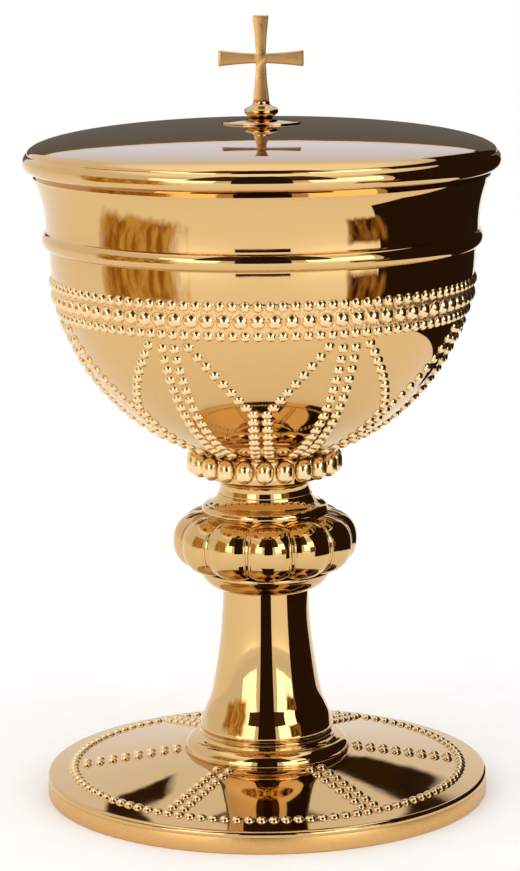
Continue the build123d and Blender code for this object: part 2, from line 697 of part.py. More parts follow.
# ---------------------------------------------------------------- finial
def finial_saucer():
    edge = LID_TOP + SAUCER_EDGE - 0.3
    blank = turned(
        joined((STUD_RADIUS + HOLE_GAP, LID_TOP - 2), (SAUCER_RADIUS, LID_TOP - 2), (SAUCER_RADIUS, edge)),
        ThreePointArc((SAUCER_RADIUS, edge), (SAUCER_RADIUS * 0.62, edge + 0.75), (BULB_RADIUS * 0.62, SAUCER_TOP)),
        joined((BULB_RADIUS * 0.62, SAUCER_TOP), (STUD_RADIUS + HOLE_GAP, SAUCER_TOP)),
        joined((STUD_RADIUS + HOLE_GAP, SAUCER_TOP), (STUD_RADIUS + HOLE_GAP, LID_TOP - 2)),
    )
    return blank - crown_plug()


def finial_bulb():
    middle = SAUCER_TOP + BULB_HEIGHT * 0.48
    seat = BULB_RADIUS * 0.6
    body = turned(
        joined((0, SAUCER_TOP), (seat, SAUCER_TOP)),
        Spline(
            (seat, SAUCER_TOP),
            (BULB_RADIUS, middle),
            (BULB_NECK_RADIUS, BULB_TOP - 0.15),
            (BULB_NECK_RADIUS, BULB_TOP + BULB_NECK_HEIGHT),
            tangents=((1, 0.25), (0, 1)),
        ),
        joined(
            (BULB_NECK_RADIUS, BULB_TOP + BULB_NECK_HEIGHT),
            (0, BULB_TOP + BULB_NECK_HEIGHT),
            (0, SAUCER_TOP),
        ),
    )
    body -= disc(STUD_RADIUS + THREAD_GAP, SAUCER_TOP - 1, SAUCER_TOP + STUD_GRIP)
    return body - disc(TENON_RADIUS + THREAD_GAP, CROSS_LOW - TENON_LENGTH, CROSS_LOW + 1)


def cross_arm():
    """Upper half-outline of one arm, from the crossing to its end, as a closed face."""
    end = CROSS_END / 2
    waist = CROSS_WAIST / 2
    bow = waist + (end - waist) * 0.34
    upper = ThreePointArc((0, waist), (CROSS_ARM * 0.55, bow), (CROSS_ARM, end))
    lower = ThreePointArc((0, -waist), (CROSS_ARM * 0.55, -bow), (CROSS_ARM, -end))
    return make_face(upper + lower + Line((CROSS_ARM, end), (CROSS_ARM, -end)) + Line((0, waist), (0, -waist)))


def cross():
    outline = cross_arm()
    for turn in (90, 180, 270):
        outline += Rot(0, 0, turn) * cross_arm()
    body = extrude(Plane.XZ * outline, CROSS_THICK / 2, both=True)
    faces = body.faces().filter_by(Axis.Y)
    body = chamfer(faces.edges(), CROSS_BEVEL)
    body = Pos(0, 0, CROSS_MIDDLE) * body
    body += disc(TENON_RADIUS, CROSS_LOW - TENON_LENGTH + 0.2, CROSS_LOW + 1)
    return Rot(0, 0, CROSS_TURN) * body


def finial_stud():
    low = finial_washer_low() - STUD_NUT_HEIGHT - STUD_TAIL
    return disc(STUD_RADIUS, low, SAUCER_TOP + STUD_GRIP - 0.2)


def finial_washer_low():
    return crown_height(STUD_WASHER_RADIUS, LID_WALL) - STUD_WASHER_THICK


def finial_washer():
    low = finial_washer_low()
    return tube(STUD_RADIUS + HOLE_GAP, STUD_WASHER_RADIUS, low, low + STUD_WASHER_THICK)


def finial_nut():
    return hex_nut(STUD_NUT_FLATS, STUD_NUT_HEIGHT, STUD_RADIUS + THREAD_GAP, finial_washer_low() - STUD_NUT_HEIGHT)


# ---------------------------------------------------------------- nodes
NODES = {
    "foot_rim": foot_rim,
    "foot_plate": foot_plate,
    "foot_bead_ring": foot_bead_ring,
    "foot_spokes": foot_spokes,
    "stem_flange": stem_flange,
    "stem": stem,
    "knop_lower_ring": knop_lower_ring,
    "knop": knop,
    "knop_upper_ring": knop_upper_ring,
    "neck": neck,
    "cup_boss": cup_boss,
    "bead_collar": bead_collar,
    "cup_shell": cup_shell,
    "cup_band": cup_band,
    "bead_row_upper": lambda: bead_row(UPPER_ROW_ANGLE, BEAD_RADIUS, BEAD_HEIGHT),
    "bead_row_middle": lambda: bead_row(MIDDLE_ROW_ANGLE, BIG_BEAD_RADIUS, BIG_BEAD_HEIGHT),
    "bead_row_lower": lambda: bead_row(LOWER_ROW_ANGLE, BEAD_RADIUS, BEAD_HEIGHT),
    "bead_chevrons": bead_chevrons,
    "bead_meridians": bead_meridians,
    "tie_rod": tie_rod,
    "rod_washer": rod_washer,
    "rod_nut": rod_nut,
    "lid_shell": lid_shell,
    "lid_locating_ring": lid_locating_ring,
    "finial_saucer": finial_saucer,
    "finial_bulb": finial_bulb,
    "cross": cross,
    "finial_stud": finial_stud,
    "finial_washer": finial_washer,
    "finial_nut": finial_nut,
}

os.makedirs("parts", exist_ok=True)
for name, make in NODES.items():
    export_step(make(), f"parts/{name}.step")
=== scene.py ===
import json
import math

import bpy
from mathutils import Matrix, Vector

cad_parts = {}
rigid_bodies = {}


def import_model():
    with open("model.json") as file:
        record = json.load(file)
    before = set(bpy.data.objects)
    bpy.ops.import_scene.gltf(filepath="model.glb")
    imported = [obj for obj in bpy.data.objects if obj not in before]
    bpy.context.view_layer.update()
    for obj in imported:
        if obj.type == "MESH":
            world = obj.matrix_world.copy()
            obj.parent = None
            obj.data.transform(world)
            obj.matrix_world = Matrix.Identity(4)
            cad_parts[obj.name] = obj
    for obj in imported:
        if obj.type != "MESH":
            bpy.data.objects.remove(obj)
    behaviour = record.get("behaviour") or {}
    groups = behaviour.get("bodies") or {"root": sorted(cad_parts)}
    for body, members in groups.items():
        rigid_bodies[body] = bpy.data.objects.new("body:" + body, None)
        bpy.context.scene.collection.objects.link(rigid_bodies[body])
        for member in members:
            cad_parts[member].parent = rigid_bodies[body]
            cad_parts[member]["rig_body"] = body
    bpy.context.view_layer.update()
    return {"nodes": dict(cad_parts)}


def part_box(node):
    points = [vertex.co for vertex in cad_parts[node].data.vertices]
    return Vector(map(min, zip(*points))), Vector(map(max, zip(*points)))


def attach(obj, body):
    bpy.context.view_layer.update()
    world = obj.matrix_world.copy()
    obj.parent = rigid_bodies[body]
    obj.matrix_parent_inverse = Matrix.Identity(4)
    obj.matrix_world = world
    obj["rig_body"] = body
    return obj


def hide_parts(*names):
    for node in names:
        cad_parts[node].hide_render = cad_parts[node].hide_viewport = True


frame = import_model()

bl_info = {
    "name": "Lidded Ciborium",
    "version": (1, 0, 0),
    "blender": (4, 5, 0),
    "location": "View3D > Sidebar > Ciborium",
    "description": "Turned, beaded and gilded pieces of a footed cup with a domed lid",
    "category": "Add Mesh",
}

MM = 0.001
UP = Vector((0, 0, 1))
MERGE = 2e-6            # points closer than this are one
EDGE_ANGLE = 32.0       # degrees; sharper than this is an edge, not a curve


# ---------------------------------------------------------------- fits and walls, mm
ROD_BORE = 3.3          # clearance hole for the tie rod
STUD_BORE = 1.8         # hole for the finial's stud
SPIGOT_HEIGHT = 2.4     # spigots that centre one piece in the next
SPIGOT_PLAY = 0.25      # between a spigot and its bore, all round
STEM_WALL = 1.2
KNOP_BORE = 12.0
NECK_RADIUS = 12.65     # narrowest part of the neck

# ---------------------------------------------------------------- rows of beads on the bowl, degrees
UPPER_ROW = 8.44        # below the middle of the bowl's curve
CHEVRON_LOW = 41.7      # where the two arms of a chevron meet
COLUMN_LOW = 66.0       # where the double rows end, at the collar
CHEVRON_SPREAD = 19.5   # from the middle of a chevron to the top of an arm, round the axis
COLUMN_DROP = 0.7       # from the rings of beads to the first bead of an upright row

# ---------------------------------------------------------------- camera
CAMERA_PITCH = 10.5     # degrees, looking down
CAMERA_ROLL = -0.53     # degrees
CAMERA_DISTANCE = 0.882     # metres from the point it looks at
CAMERA_HEIGHT = 0.10224     # metres, the height it looks at
CAMERA_ASIDE = 1.2      # mm to the left
CAMERA_LENS = 130       # mm


# ---------------------------------------------------------------- heights and radii of the frame, mm
def node_low(node):
    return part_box(node)[0].z / MM


def node_high(node):
    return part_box(node)[1].z / MM


def node_radius(node):
    """Widest radius of a turned piece."""
    low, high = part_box(node)
    return (high.x - low.x) / 2 / MM


FOOT_RADIUS = node_radius("foot_rim")
RIM_TOP = node_high("foot_rim")
HUB_TOP = node_low("stem_flange")
STEM_LOW = node_low("stem")
STEM_HIGH = node_high("stem")
KNOP_LOW = node_high("knop_lower_ring") - SPIGOT_HEIGHT
KNOP_HIGH = node_low("knop_upper_ring") + SPIGOT_HEIGHT
NECK_LOW = node_low("neck")
NECK_HIGH = node_high("neck")
BAND_LOW = node_low("cup_band")
BAND_HIGH = node_high("cup_band")
LIP_TOP = node_high("cup_shell")
LID_TOP = node_high("lid_shell")
SAUCER_TOP = node_low("finial_bulb")
BULB_TOP = node_high("finial_bulb")
CROSS_TOP = node_high("cross")
BOWL_CENTRE = BAND_LOW - 0.3            # middle of the bowl's curve
PLATE_SHOULDER = FOOT_RADIUS - 1.1      # where the foot plate starts to rise
PLATE_STEP = 1.7                        # from the rim to the shoulder


# ---------------------------------------------------------------- what a user may change
def length(name, description, default):
    """A size in millimetres."""
    return bpy.props.FloatProperty(
        name=name, description=description, default=default * MM, min=0, unit="LENGTH", precision=5
    )


def whole(name, description, default):
    return bpy.props.IntProperty(name=name, description=description, default=default, min=1)


def degrees(name, description, default):
    return bpy.props.FloatProperty(
        name=name, description=description, default=math.radians(default), unit="ROTATION", subtype="ANGLE"
    )


def colour(name, description, default):
    """An sRGB hex colour."""
    return bpy.props.StringProperty(name=name, description=description, default=default)


class CiboriumFootSizes(bpy.types.PropertyGroup):
    rim_width: length("Rim width", "Width of the ring that the foot stands on", 3.5)
    wall: length("Wall", "Thickness of the spun foot plate", 1.2)
    slope: degrees("Slope", "How steeply the foot plate rises to the stem", 8.7)
    hub: length("Hub radius", "Flat seat in the middle of the plate", 23.9)
    flange: length("Flange radius", "Widest moulding at the bottom of the stem", 23.5)
    stem_foot: length("Stem foot radius", "Radius of the stem where it meets its mouldings", 18.9)
    stem_top: length("Stem top radius", "Radius of the stem under the knop", 12.0)
    ring: length("Bead ring radius", "Ring of beads near the foot's edge", 55.1)
    spokes: whole("Spokes", "Double rows of beads from the stem to the ring", 6)
    spoke_beads: whole("Spoke beads", "Beads in one row of a spoke", 8)
    turn: degrees("Turn", "Turn of the foot's beads about the stem", 1.7)


class CiboriumKnopSizes(bpy.types.PropertyGroup):
    lobes: whole("Lobes", "Rounded lobes round the knop", 12)
    radius: length("Knop radius", "Reach of the lobes from the axis", 25.95)
    lobe: length("Lobe radius", "Half-width of a lobe about its own upright axis", 9.45)
    half_height: length("Half height", "Half the height of a lobe", 8.4)
    fullness: bpy.props.FloatProperty(
        name="Fullness", description="2 is an ellipse, more gives squarer shoulders", default=2.25
    )
    rib_width: length("Rib width", "Width of one raised rib", 0.8)
    rib_gap: length("Rib gap", "Groove between the two ribs of a pair", 0.8)
    rib_proud: length("Rib height", "How far a rib stands out of its valley", 0.55)
    turn: degrees("Turn", "Turn of the knop about the stem", 3.0)


class CiboriumCupSizes(bpy.types.PropertyGroup):
    bowl: length("Bowl radius", "Radius of the bowl's curve", 60.0)
    inset: length("Bowl inset", "How far the curve's centre lies across the axis", 0.95)
    wall: length("Wall", "Thickness of the cup", 1.2)
    throat: length("Throat radius", "Narrowest part above the band", 59.95)
    lip: length("Lip radius", "Radius of the flared lip", 63.2)
    band_proud: length("Band height", "How far the band stands out of the cup", 1.6)
    collar: length("Collar radius", "Radius of the boss inside the bead collar", 16.8)
    collar_beads: whole("Collar beads", "Beads round the bottom of the bowl", 22)
    repeats: whole("Repeats", "Chevrons of beads round the bowl", 7)
    turn: degrees("Turn", "Turn of the bowl's beads about the axis", -1.5)


class CiboriumBeadSizes(bpy.types.PropertyGroup):
    radius: length("Bead radius", "Radius of a small bead", 1.6)
    height: length("Bead height", "Height of a small bead", 1.0)
    big_radius: length("Large bead radius", "Radius of a bead in the middle row", 2.2)
    big_height: length("Large bead height", "Height of a bead in the middle row", 1.3)
    gap: length("Bead gap", "Gap between two beads of a row", 0.12)
    row_gap: length("Row gap", "Gap between two rings of beads on the bowl", 0.35)
    spacing: length("Row spacing", "Between the two rows of a double row", 3.7)


class CiboriumLidSizes(bpy.types.PropertyGroup):
    radius: length("Lid radius", "Widest part of the rolled edge", 66.05)
    crease: length("Crease radius", "Where the crown meets the rolled edge", 64.8)
    crown: length("Crown height", "Height of the crown above the crease", 7.8)
    fullness: bpy.props.FloatProperty(
        name="Fullness", description="2 is an ellipse, more gives a squarer shoulder", default=2.1
    )
    wall: length("Wall", "Thickness of the lid", 1.2)
    arm: length("Cross arm", "From the middle of the cross to the end of an arm", 11.7)
    arm_end: length("Arm end", "Width of an arm at its end", 4.4)
    waist: length("Arm waist", "Width of an arm at the crossing", 2.6)
    thick: length("Cross thickness", "Thickness of the cross", 2.2)
    turn: degrees("Cross turn", "Turn of the cross about the axis", -5.0)


class CiboriumFinish(bpy.types.PropertyGroup):
    gilt: colour("Gilt", "Polished gold plate seen straight on", "D6B077")
    # The paler colour of the cast beads is a painted sheen: the bright crowns of the small domes, put into
    # their colour.
    beads: colour("Cast beads", "Gold plate over the cast beads, paler than the mirror", "F0D3A2")
    satin: colour("Satin gilt", "Blasted gold plate of the cross and the foot's edge", "DCAE70")
    ground: colour("Matt ground", "Stippled gold between the rows of beads", "EBC58E")
    brass: colour("Brass", "Turned brass of the hidden fastenings", "D9B36A")
    floor: colour("Floor", "Pale studio floor", "F4F3F1")
    steps: whole("Turning steps", "Faces round a turned piece", 240)


SETTINGS = {
    "ciborium_foot": CiboriumFootSizes,
    "ciborium_knop": CiboriumKnopSizes,
    "ciborium_cup": CiboriumCupSizes,
    "ciborium_beads": CiboriumBeadSizes,
    "ciborium_lid": CiboriumLidSizes,
    "ciborium_finish": CiboriumFinish,
}


def sizes(group):
    """The settings of one group, with lengths in metres and angles in radians."""
    return getattr(bpy.context.scene, "ciborium_" + group)


def mm(value):
    """A length in metres as the millimetres that outlines are drawn in."""
    return value / MM


# ---------------------------------------------------------------- outlines, (radius, height) in mm
def arc(start, through, end, count=14):
    """Points on the circular arc through three points."""
    (ax, ay), (bx, by), (cx, cy) = start, through, end
    d = 2 * (ax * (by - cy) + bx * (cy - ay) + cx * (ay - by))
    a2, b2, c2 = ax * ax + ay * ay, bx * bx + by * by, cx * cx + cy * cy
    ox = (a2 * (by - cy) + b2 * (cy - ay) + c2 * (ay - by)) / d
    oy = (a2 * (cx - bx) + b2 * (ax - cx) + c2 * (bx - ax)) / d
    first = math.atan2(ay - oy, ax - ox)
    middle = (math.atan2(by - oy, bx - ox) - first) % (2 * math.pi)
    last = (math.atan2(cy - oy, cx - ox) - first) % (2 * math.pi)
    if middle > last:
        last -= 2 * math.pi
    radius = math.hypot(ax - ox, ay - oy)
    angles = [first + last * i / count for i in range(count + 1)]
    return [(ox + radius * math.cos(a), oy + radius * math.sin(a)) for a in angles]


def smooth(points, count=7, first=None, last=None):
    """Points on a smooth curve through the given ones. first and last are end directions."""
    n = len(points)
    knots = [0.0]
    for p, q in zip(points, points[1:]):
        knots.append(knots[-1] + math.dist(p, q))
    axes = []
    for k in (0, 1):
        y = [p[k] for p in points]
        low = [0.0] * n
        mid = [1.0] * n
        high = [0.0] * n
        right = [0.0] * n
        for i in range(1, n - 1):
            h0 = knots[i] - knots[i - 1]
            h1 = knots[i + 1] - knots[i]
            low[i], mid[i], high[i] = h1, 2 * (h0 + h1), h0
            right[i] = 3 * (h1 * (y[i] - y[i - 1]) / h0 + h0 * (y[i + 1] - y[i]) / h1)
        for i, j, given in ((0, 1, first), (n - 1, n - 2, last)):
            if given is None:
                step = knots[j] - knots[i]
                mid[i] = 2.0
                if i == 0:
                    high[i] = 1.0
                else:
                    low[i] = 1.0
                right[i] = 3 * (y[j] - y[i]) / step
            else:
                right[i] = given[k] / math.hypot(*given)
        for i in range(1, n):
            share = low[i] / mid[i - 1]
            mid[i] -= share * high[i - 1]
            right[i] -= share * right[i - 1]
        slope = [0.0] * n
        slope[-1] = right[-1] / mid[-1]
        for i in range(n - 2, -1, -1):
            slope[i] = (right[i] - high[i] * slope[i + 1]) / mid[i]
        line = []
        for i in range(n - 1):
            h = knots[i + 1] - knots[i]
            for j in range(count):
                t = j / count
                line.append(
                    (2 * t**3 - 3 * t**2 + 1) * y[i]
                    + (t**3 - 2 * t**2 + t) * h * slope[i]
                    + (3 * t**2 - 2 * t**3) * y[i + 1]
                    + (t**3 - t**2) * h * slope[i + 1]
                )
        axes.append(line + [y[-1]])
    return list(zip(*axes))


def outline(*runs):
    """Points and lists of points as one outline, without points that fall on each other."""
    line = []
    for run in runs:
        for point in run if isinstance(run, list) else [run]:
            if not line or math.dist(line[-1], point) > 1e-4:
                line.append(point)
    return line


def steps(first, last, count):
    """Evenly spaced numbers, with the first and the last among them."""
    return [first + (last - first) * i / (count - 1) for i in range(count)]


# ---------------------------------------------------------------- modelling by hand
def start_clean():
    """Object mode, with nothing selected."""
    if bpy.context.object and bpy.context.object.mode != "OBJECT":
        bpy.ops.object.mode_set(mode="OBJECT")
    bpy.ops.object.select_all(action="DESELECT")


def pick(obj):
    """Selects one object and makes it the active one."""
    start_clean()
    obj.select_set(True)
    bpy.context.view_layer.objects.active = obj


def first_point(name, position):
    """A mesh object holding one selected point, in edit mode."""
    start_clean()
    bpy.ops.mesh.primitive_plane_add(size=MM, location=(0, 0, 0))
    obj = bpy.context.object
    obj.name = name
    bpy.ops.object.mode_set(mode="EDIT")
    bpy.ops.mesh.select_all(action="SELECT")
    bpy.ops.mesh.merge(type="CENTER")
    bpy.ops.transform.translate(value=position)
    return obj


def draw_line(name, points):
    """Extrudes one point along the points, in metres, and stays in edit mode."""
    obj = first_point(name, points[0])
    here = Vector(points[0])
    for point in points[1:]:
        move = Vector(point) - here
        bpy.ops.mesh.extrude_region_move(TRANSFORM_OT_translate={"value": move})
        here += move
    return obj


def close_up():
    """Merges seams and poles and turns the faces outwards. In edit mode."""
    bpy.ops.mesh.select_all(action="SELECT")
    bpy.ops.mesh.remove_doubles(threshold=MERGE)
    bpy.ops.mesh.normals_make_consistent(inside=False)


def cut_away(point, towards, threshold=1e-8):
    """Cuts the whole mesh at a plane, closes the cut and keeps the side it faces. In edit mode."""
    bpy.ops.mesh.select_all(action="SELECT")
    bpy.ops.mesh.bisect(
        plane_co=point, plane_no=towards, use_fill=True, clear_inner=True, threshold=threshold
    )


def join(obj, other):
    """Makes the other object's mesh part of the first."""
    pick(obj)
    other.select_set(True)
    bpy.ops.object.join()


def lathe(name, points, around):
    """Spins an outline in mm about the axis."""
    draw_line(name, [(r * MM, 0, z * MM) for r, z in points])
    obj = bpy.context.object
    bpy.ops.mesh.select_all(action="SELECT")
    bpy.ops.mesh.spin(steps=around, angle=2 * math.pi, center=(0, 0, 0), axis=(0, 0, 1))
    close_up()
    bpy.ops.object.mode_set(mode="OBJECT")
    return obj


def bevel_edges(obj, width, segments=2, angle=EDGE_ANGLE):
    pick(obj)
    bevel = obj.modifiers.new("Edges", "BEVEL")
    bevel.width = width * MM
    bevel.segments = segments
    bevel.limit_method = "ANGLE"
    bevel.angle_limit = math.radians(angle)
    bpy.ops.object.modifier_apply(modifier=bevel.name)


def finish_piece(obj, node, material, angle=EDGE_ANGLE):
    """Shades, places and hands over a piece that stands for a node."""
    pick(obj)
    bpy.ops.object.transform_apply(location=True, rotation=True, scale=True)
    bpy.ops.object.shade_smooth_by_angle(angle=math.radians(angle))
    obj.data.materials.clear()
    for one in material if isinstance(material, list) else [material]:
        obj.data.materials.append(one)
    obj.name = node + "_finished"
    obj.data.name = obj.name
    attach(obj, frame["nodes"][node]["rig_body"])
    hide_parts(node)
    return obj


def turned(node, points, material, edge=0.12, around=None):
    """A piece turned on the lathe: its outline in mm is spun about the axis."""
    closed = math.dist(points[0], points[-1]) < 1e-3
    on_axis = points[0][0] < 1e-6 and points[-1][0] < 1e-6
    if not (closed or on_axis):
        raise RuntimeError(f"the outline of {node} is open")
    obj = lathe(node, points, around or sizes("finish").steps)
    if edge:
        bevel_edges(obj, edge)
    return finish_piece(obj, node, material)


def bead(radius, height, sides=12):
    """A bead with a few dozen faces and a flat back that sinks a little into the metal."""
    sink = 0.12
    ball = (radius**2 + height**2) / (2 * height)
    share = math.degrees(math.asin(min(radius / ball, 1)))
    start_clean()
    rings = max(8, round(540 / share))
    bpy.ops.mesh.primitive_uv_sphere_add(segments=sides, ring_count=rings, radius=ball * MM)
    obj = bpy.context.object
    bpy.ops.object.mode_set(mode="EDIT")
    bpy.ops.mesh.select_all(action="SELECT")
    bpy.ops.transform.translate(value=(0, 0, (height - ball) * MM))
    cut_away((0, 0, -sink * MM), (0, 0, 1), 1e-7)
    close_up()
    bpy.ops.object.mode_set(mode="OBJECT")
    return obj


def copies(model, places):
    """The model at every place, each copy with its own mesh, joined as one piece."""
    made = []
    for place in places:
        copy = model.copy()
        copy.data = model.data.copy()
        copy.matrix_world = place
        bpy.context.collection.objects.link(copy)
        made.append(copy)
    bpy.data.objects.remove(model)
    start_clean()
    for copy in made:
        copy.select_set(True)
    bpy.context.view_layer.objects.active = made[0]
    bpy.ops.object.join()
    bpy.ops.object.transform_apply(location=True, rotation=True, scale=True)
    return bpy.context.object


def standing(origin, normal, along):
    """A place whose own up is the normal and whose own X lies along a direction."""
    z = normal.normalized()
    x = (along - z * along.dot(z)).normalized()
    y = z.cross(x)
    place = Matrix((x, y, z)).transposed().to_4x4()
    place.translation = origin * MM
    return place


def on_bowl(azimuth, angle, across=0.0):
    """Place on the bowl's skin, an angle in degrees below the middle of its curve."""
    cup = sizes("cup")
    low = math.radians(angle)
    radius = mm(cup.bowl) * math.cos(low) - mm(cup.inset)
    turn = math.radians(azimuth) + cup.turn + across / radius
    out = Vector((math.sin(turn), -math.cos(turn), 0))
    side = Vector((math.cos(turn), math.sin(turn), 0))
    height = BOWL_CENTRE - mm(cup.bowl) * math.sin(low)
    return standing(out * radius + UP * height, out * math.cos(low) - UP * math.sin(low), side)


def plate_top(radius):
    """Height of the foot plate's upper face."""
    return RIM_TOP + PLATE_STEP + (PLATE_SHOULDER - radius) * math.tan(sizes("foot").slope)


def on_plate(azimuth, radius, across=0.0):
    """Place on the foot plate's upper face."""
    foot = sizes("foot")
    turn = math.radians(azimuth) + foot.turn + across / radius
    out = Vector((math.sin(turn), -math.cos(turn), 0))
    side = Vector((math.cos(turn), math.sin(turn), 0))
    return standing(
        out * radius + UP * plate_top(radius), out * math.sin(foot.slope) + UP * math.cos(foot.slope), side
    )


# ---------------------------------------------------------------- materials
def linear(code):
    """An sRGB hex colour as linear RGBA."""
    parts = [int(code[i : i + 2], 16) / 255 for i in (0, 2, 4)]
    return (*[c / 12.92 if c <= 0.04045 else ((c + 0.055) / 1.055) ** 2.4 for c in parts], 1)


def add_node(material, kind, settings=None, **links):
    """Adds a node, sets what is given by name or number, and links sockets: i0 is the first input,
    any other key is an input's name."""
    node = material.node_tree.nodes.new(kind)
    for key, value in (settings or {}).items():
        if isinstance(key, int) or key in node.inputs:
            node.inputs[key].default_value = value
        else:
            setattr(node, key, value)
    for key, socket in links.items():
        numbered = key[0] == "i" and key[1:].isdigit()
        target = node.inputs[int(key[1:]) if numbered else key.replace("_", " ")]
        material.node_tree.links.new(socket, target)
    return node


def metal(name, code, roughness):
    """A metal with its own colour, and its shader node. The roughness is its usual level, about
    which a pattern then varies it."""
    material = bpy.data.materials.new(name)
    material.use_nodes = True
    shader = material.node_tree.nodes["Principled BSDF"]
    shader.inputs["Base Color"].default_value = linear(code)
    shader.inputs["Metallic"].default_value = 1.0
    shader.inputs["Roughness"].default_value = roughness
    return material, shader


def per_mm(size):
    """Noise scale whose features are about this many millimetres across."""
    return 1 / (size * MM)


def polished_gilt():
    """Electroplated gold over buffed brass: a mirror, a little uneven where the mop has pulled it,
    with a faint haze in patches."""
    finish = sizes("finish")
    material, shader = metal("gold_plate_mirror_buffed", finish.gilt, 0.04)
    link = material.node_tree.links.new
    here = add_node(material, "ShaderNodeTexCoord").outputs["Object"]
    haze = add_node(
        material, "ShaderNodeTexNoise", {"Scale": per_mm(14), "Detail": 5.0}, Vector=here
    )
    rough = add_node(
        material, "ShaderNodeMapRange", {1: 0.35, 2: 0.72, 3: 0.025, 4: 0.06}, i0=haze.outputs["Fac"]
    )
    link(rough.outputs["Result"], shader.inputs["Roughness"])
    pull = add_node(
        material, "ShaderNodeTexNoise", {"Scale": per_mm(9), "Detail": 2.0}, Vector=here
    )
    bump = add_node(
        material, "ShaderNodeBump", {"Strength": 0.05, "Distance": 0.25 * MM}, Height=pull.outputs["Fac"]
    )
    link(bump.outputs["Normal"], shader.inputs["Normal"])
    return material


def stippled_cup_gilt():
    """The cup's gold plate. It is mirror-buffed but for a stippled ground between the rows of beads,
    which was punched before plating and stays matt."""
    finish = sizes("finish")
    material, shader = metal("gold_plate_buffed_and_stippled", finish.gilt, 0.04)
    link = material.node_tree.links.new
    here = add_node(material, "ShaderNodeTexCoord").outputs["Object"]
    parts = add_node(material, "ShaderNodeSeparateXYZ", None, Vector=here)
    middle, edge, faded = BOWL_CENTRE - 12.9, 4.4, 4.9
    off = add_node(
        material, "ShaderNodeMath", {"operation": "SUBTRACT", 1: middle * MM}, i0=parts.outputs["Z"]
    )
    away = add_node(material, "ShaderNodeMath", {"operation": "ABSOLUTE"}, i0=off.outputs[0])
    ground = add_node(
        material, "ShaderNodeMapRange", {1: faded * MM, 2: edge * MM, 3: 0.0, 4: 1.0}, i0=away.outputs[0]
    )
    haze = add_node(
        material, "ShaderNodeTexNoise", {"Scale": per_mm(14), "Detail": 5.0}, Vector=here
    )
    bright = add_node(
        material, "ShaderNodeMapRange", {1: 0.35, 2: 0.72, 3: 0.025, 4: 0.06}, i0=haze.outputs["Fac"]
    )
    rough = add_node(
        material, "ShaderNodeMix", {"data_type": "FLOAT", 3: 0.34}, i0=ground.outputs[0], i2=bright.outputs[0]
    )
    link(rough.outputs[0], shader.inputs["Roughness"])
    tint = add_node(
        material,
        "ShaderNodeMix",
        {"data_type": "RGBA", 6: linear(finish.gilt), 7: linear(finish.ground)},
        i0=ground.outputs[0],
    )
    link(tint.outputs[2], shader.inputs["Base Color"])
    pull = add_node(
        material, "ShaderNodeTexNoise", {"Scale": per_mm(9), "Detail": 2.0}, Vector=here
    )
    punch = add_node(
        material, "ShaderNodeTexVoronoi", {"Scale": per_mm(0.9)}, Vector=here
    )
    dents = add_node(
        material, "ShaderNodeMath", {"operation": "MULTIPLY"},
        i0=punch.outputs["Distance"], i1=ground.outputs[0],
    )
    soft = add_node(
        material, "ShaderNodeBump", {"Strength": 0.05, "Distance": 0.25 * MM}, Height=pull.outputs["Fac"]
    )
    bump = add_node(
        material,
        "ShaderNodeBump",
        {"Strength": 0.7, "Distance": 0.35 * MM},
        Height=dents.outputs[0],
        Normal=soft.outputs["Normal"],
    )
    link(bump.outputs["Normal"], shader.inputs["Normal"])
    return material


def lathe_gilt():
    """Gold plate straight over the lathe's tool marks, inside the cup, lid and foot: fine rings that
    blur what they reflect. The rings are drawn 0.5 mm apart, coarser than real ones, so that they show."""
    finish = sizes("finish")
    material, shader = metal("gold_plate_over_turning", finish.gilt, 0.16)
    link = material.node_tree.links.new
    here = add_node(material, "ShaderNodeTexCoord").outputs["Object"]
    rings = add_node(
        material,
        "ShaderNodeTexWave",
        {
            "wave_type": "RINGS", "rings_direction": "SPHERICAL",
            "Scale": per_mm(0.5) / 20, "Distortion": 0.4, "Detail": 1.0,
        },
        Vector=here,
    )
    wear = add_node(
        material, "ShaderNodeTexNoise", {"Scale": per_mm(11), "Detail": 4.0}, Vector=here
    )
    rough = add_node(
        material, "ShaderNodeMapRange", {1: 0.3, 2: 0.75, 3: 0.11, 4: 0.24}, i0=wear.outputs["Fac"]
    )
    link(rough.outputs["Result"], shader.inputs["Roughness"])
    bump = add_node(
        material, "ShaderNodeBump", {"Strength": 0.12, "Distance": 0.05 * MM}, Height=rings.outputs["Fac"]
    )
    link(bump.outputs["Normal"], shader.inputs["Normal"])
    return material


def beaded_gilt_with_painted_sheen():
    """Gold plate over cast beads, a little rougher than the buffed wall because a mop can't reach between
    them.
    Its colour is the gilt made paler: a painted sheen, the brightness of the beads' crowns put into the
    colour."""
    finish = sizes("finish")
    material, shader = metal("gold_plate_over_cast_beads_with_painted_sheen", finish.beads, 0.15)
    link = material.node_tree.links.new
    here = add_node(material, "ShaderNodeTexCoord").outputs["Object"]
    cast = add_node(
        material, "ShaderNodeTexNoise", {"Scale": per_mm(0.8), "Detail": 3.0}, Vector=here
    )
    rough = add_node(
        material, "ShaderNodeMapRange", {1: 0.3, 2: 0.75, 3: 0.1, 4: 0.28}, i0=cast.outputs["Fac"]
    )
    link(rough.outputs["Result"], shader.inputs["Roughness"])
    bump = add_node(
        material, "ShaderNodeBump", {"Strength": 0.16, "Distance": 0.12 * MM}, Height=cast.outputs["Fac"]
    )
    link(bump.outputs["Normal"], shader.inputs["Normal"])
    return material


